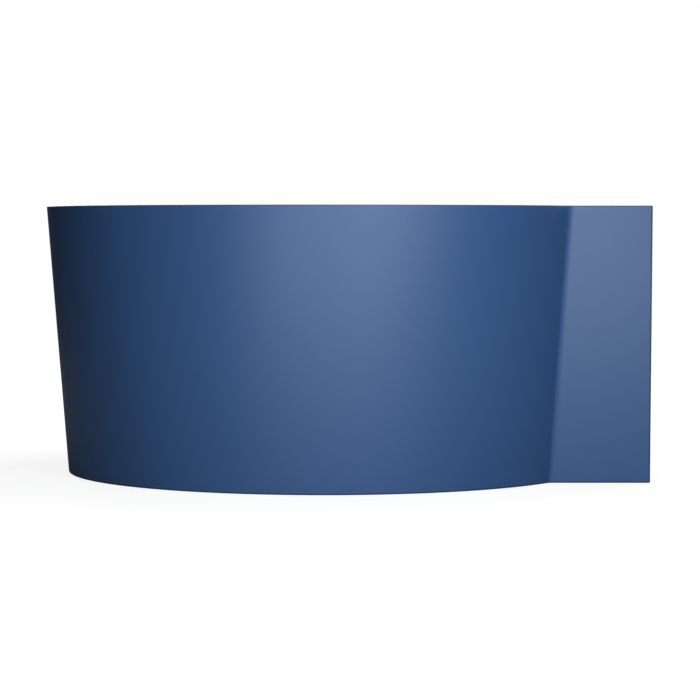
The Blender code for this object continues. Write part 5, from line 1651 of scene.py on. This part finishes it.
# %% Control cable
CABLE_RADIUS = 0.0025
CABLE_ROUNDNESS = 4
CABLE_STEPS = 8
CABLE_TOP = BOSS_END - GAP
CABLE_END = STOP_START + STOP_LENGTH + GAP
CABLE_RUN = TEE_REACH - CABLE_END
CABLE_POINTS = [
    (TEE_REACH, BOSS_PLACE, CABLE_TOP), (TEE_REACH, BOSS_PLACE, CABLE_TOP - 0.03),
    (TEE_REACH, 0.030, STOP_LEVEL + 0.26), (TEE_REACH - 0.003, 0.032, STOP_LEVEL + 0.17),
    (TEE_REACH - 0.016, 0.034, STOP_LEVEL + 0.09), (TEE_REACH - 0.3 * CABLE_RUN, 0.036, STOP_LEVEL + 0.03),
    (TEE_REACH - 0.6 * CABLE_RUN, 0.036, STOP_LEVEL + 0.005), (CABLE_END + 0.03, STOP_PLACE, STOP_LEVEL),
    (CABLE_END, STOP_PLACE, STOP_LEVEL)]


def smooth_route(points, count):
    """Points on a smooth curve through a route's own points."""
    points = [Vector(point) for point in points]
    ends = [2 * points[0] - points[1]] + points + [2 * points[-1] - points[-2]]
    route = []
    for before, start, end, after in zip(ends, ends[1:], ends[2:], ends[3:]):
        for step in range(count):
            t = step / count
            bend = 2 * start + (end - before) * t + (2 * before - 5 * start + 4 * end - after) * t * t
            route.append((bend + (3 * start - before - 3 * end + after) * t ** 3) / 2)
    return route + [points[-1]]


put_down()
bpy.ops.curve.primitive_nurbs_path_add()
cable = bpy.context.object
cable.name = "sheathed_cable"
cable.data.splines.clear()
route = smooth_route(CABLE_POINTS, CABLE_STEPS)
spline = cable.data.splines.new("POLY")
spline.points.add(len(route) - 1)
for point, spot in zip(spline.points, route):
    point.co = (*spot, 1.0)
cable.data.bevel_depth = CABLE_RADIUS
cable.data.bevel_resolution = CABLE_ROUNDNESS
cable.data.use_fill_caps = True
take(cable)
bpy.ops.object.convert(target="MESH")
cable = take(bpy.context.object, editing=True)
face_outwards(welding=True)
stand_for(settle(cable, TO_CORNER), "control_cable", SHEATH)

# %% [markdown]
# ## Floor and backdrop
# The picture is a plain studio shot on white. The floor is a wide pale sheet and the backdrop is white to
# the eye. A white room would also flood the skirt with light from all round and flatten it, so what other
# rays find is much dimmer than what the camera sees. For the same reason the floor glows for the camera
# only, and more so further away, so that it runs into the backdrop without a line.

# %% Floor
FLOOR_SIDE = 30.0
FLOOR_DROP = 0.0005
FLOOR_PALE = (0.255, 0.255, 0.255)
FLOOR_DULL = (0.245, 0.245, 0.245)
FLOOR_GLOW = (0.84, 1.0)
FLOOR_GLOW_RANGE = (0.8, 3.0)
BLACK_OUT = (0.0, 0.0, 0.0)
FULL_WHITE = (1.0, 1.0, 1.0)


def pale_floor():
    finish = Finish("pale_floor", emission_strength=1.0, specular_ior_level=0.0)
    spot = finish.place()
    cloud = finish.noise(spot, scale=1.5)
    away = finish.node("ShaderNodeVectorMath", {"operation": "LENGTH"}, {0: spot}, "Value")
    glow = finish.span(away, FLOOR_GLOW_RANGE, FLOOR_GLOW)
    seen = finish.node("ShaderNodeLightPath", output="Is Camera Ray")
    finish.feed(base_color=finish.mixed(cloud, FLOOR_DULL, FLOOR_PALE),
                roughness=finish.span(cloud, NOISE_BAND, (0.86, 0.94)),
                emission_color=finish.mixed(glow * seen, BLACK_OUT, FULL_WHITE))
    return finish.material


put_down()
bpy.ops.mesh.primitive_plane_add(size=FLOOR_SIDE, location=(0.0, 0.0, -FLOOR_DROP))
floor = bpy.context.object
floor.name = "studio_floor"
floor.data.materials.append(pale_floor())
print(floor.name, FLOOR_SIDE, "m wide")

# %% [markdown]
# The backdrop is the world itself. It could be one white background, but then every ray would find it
# bright. So a Mix Shader hands the bright one to the camera's rays and a dim one to all others.

# %% Backdrop
ROOM_LIGHT = 0.02
CAMERA_LIGHT = 1.0
room = bpy.data.worlds.new("white_room")
bpy.context.scene.world = room
room.use_nodes = True
room.node_tree.nodes.remove(room.node_tree.nodes["Background"])
walls = NodeTree(room.node_tree)
dim, bright = [walls.node("ShaderNodeBackground", {}, {"Color": (*FULL_WHITE, 1.0), "Strength": strength})
               for strength in (ROOM_LIGHT, CAMERA_LIGHT)]
seen = walls.node("ShaderNodeLightPath", output="Is Camera Ray")
choice = walls.node("ShaderNodeMixShader", {}, {0: seen, 1: dim, 2: bright})
walls.plug(choice, room.node_tree.nodes["World Output"].inputs["Surface"])
bpy.context.scene.view_settings.view_transform = "Standard"
print("room light", ROOM_LIGHT)

# %% [markdown]
# ## Light
# The light was read from the skirt itself. On a satin sheet the blue follows the light's direction, and a
# pale sheen lies where the sheet mirrors the light towards the camera. Both are strongest a little right of
# the middle and near the rim, so three soft boxes stand close in front, two of them at the right. The flat
# wing mirrors what lies low and far off, so two more stand there. The last three stand above and behind,
# where the leaning skirt doesn't see them, and light the rest of the bath for other views.

# %% Light
BOX_SIDE = 1.0
BOX_TARGET = Vector((0.0, -0.3, 0.35))
SOFT_BOXES = {
    "far_left_low": ((-1.2, -5.0, 0.3), 49.0),
    "far_right_low": ((1.2, -5.0, 0.3), 69.0),
    "near_left": ((-0.4, -2.6, 0.9), 13.7),
    "near_right_high": ((0.8, -2.6, 1.5), 23.6),
    "near_right": ((1.2, -2.6, 0.9), 17.6),
    "top": ((0.4, 0.9, 2.8), 36.0),
    "back_right": ((2.8, 2.2, 1.6), 36.0),
    "back_left": ((-1.6, 3.7, 1.9), 58.0),
}
for name, (place, power) in SOFT_BOXES.items():
    put_down()
    bpy.ops.object.light_add(type="AREA", location=place)
    box = bpy.context.object
    box.name = name + "_light"
    box.data.shape = "SQUARE"
    box.data.size = BOX_SIDE
    box.data.energy = power
    box.visible_camera = False
    box.rotation_euler = (BOX_TARGET - Vector(place)).to_track_quat("-Z", "Y").to_euler()
print(len(SOFT_BOXES), "soft boxes")
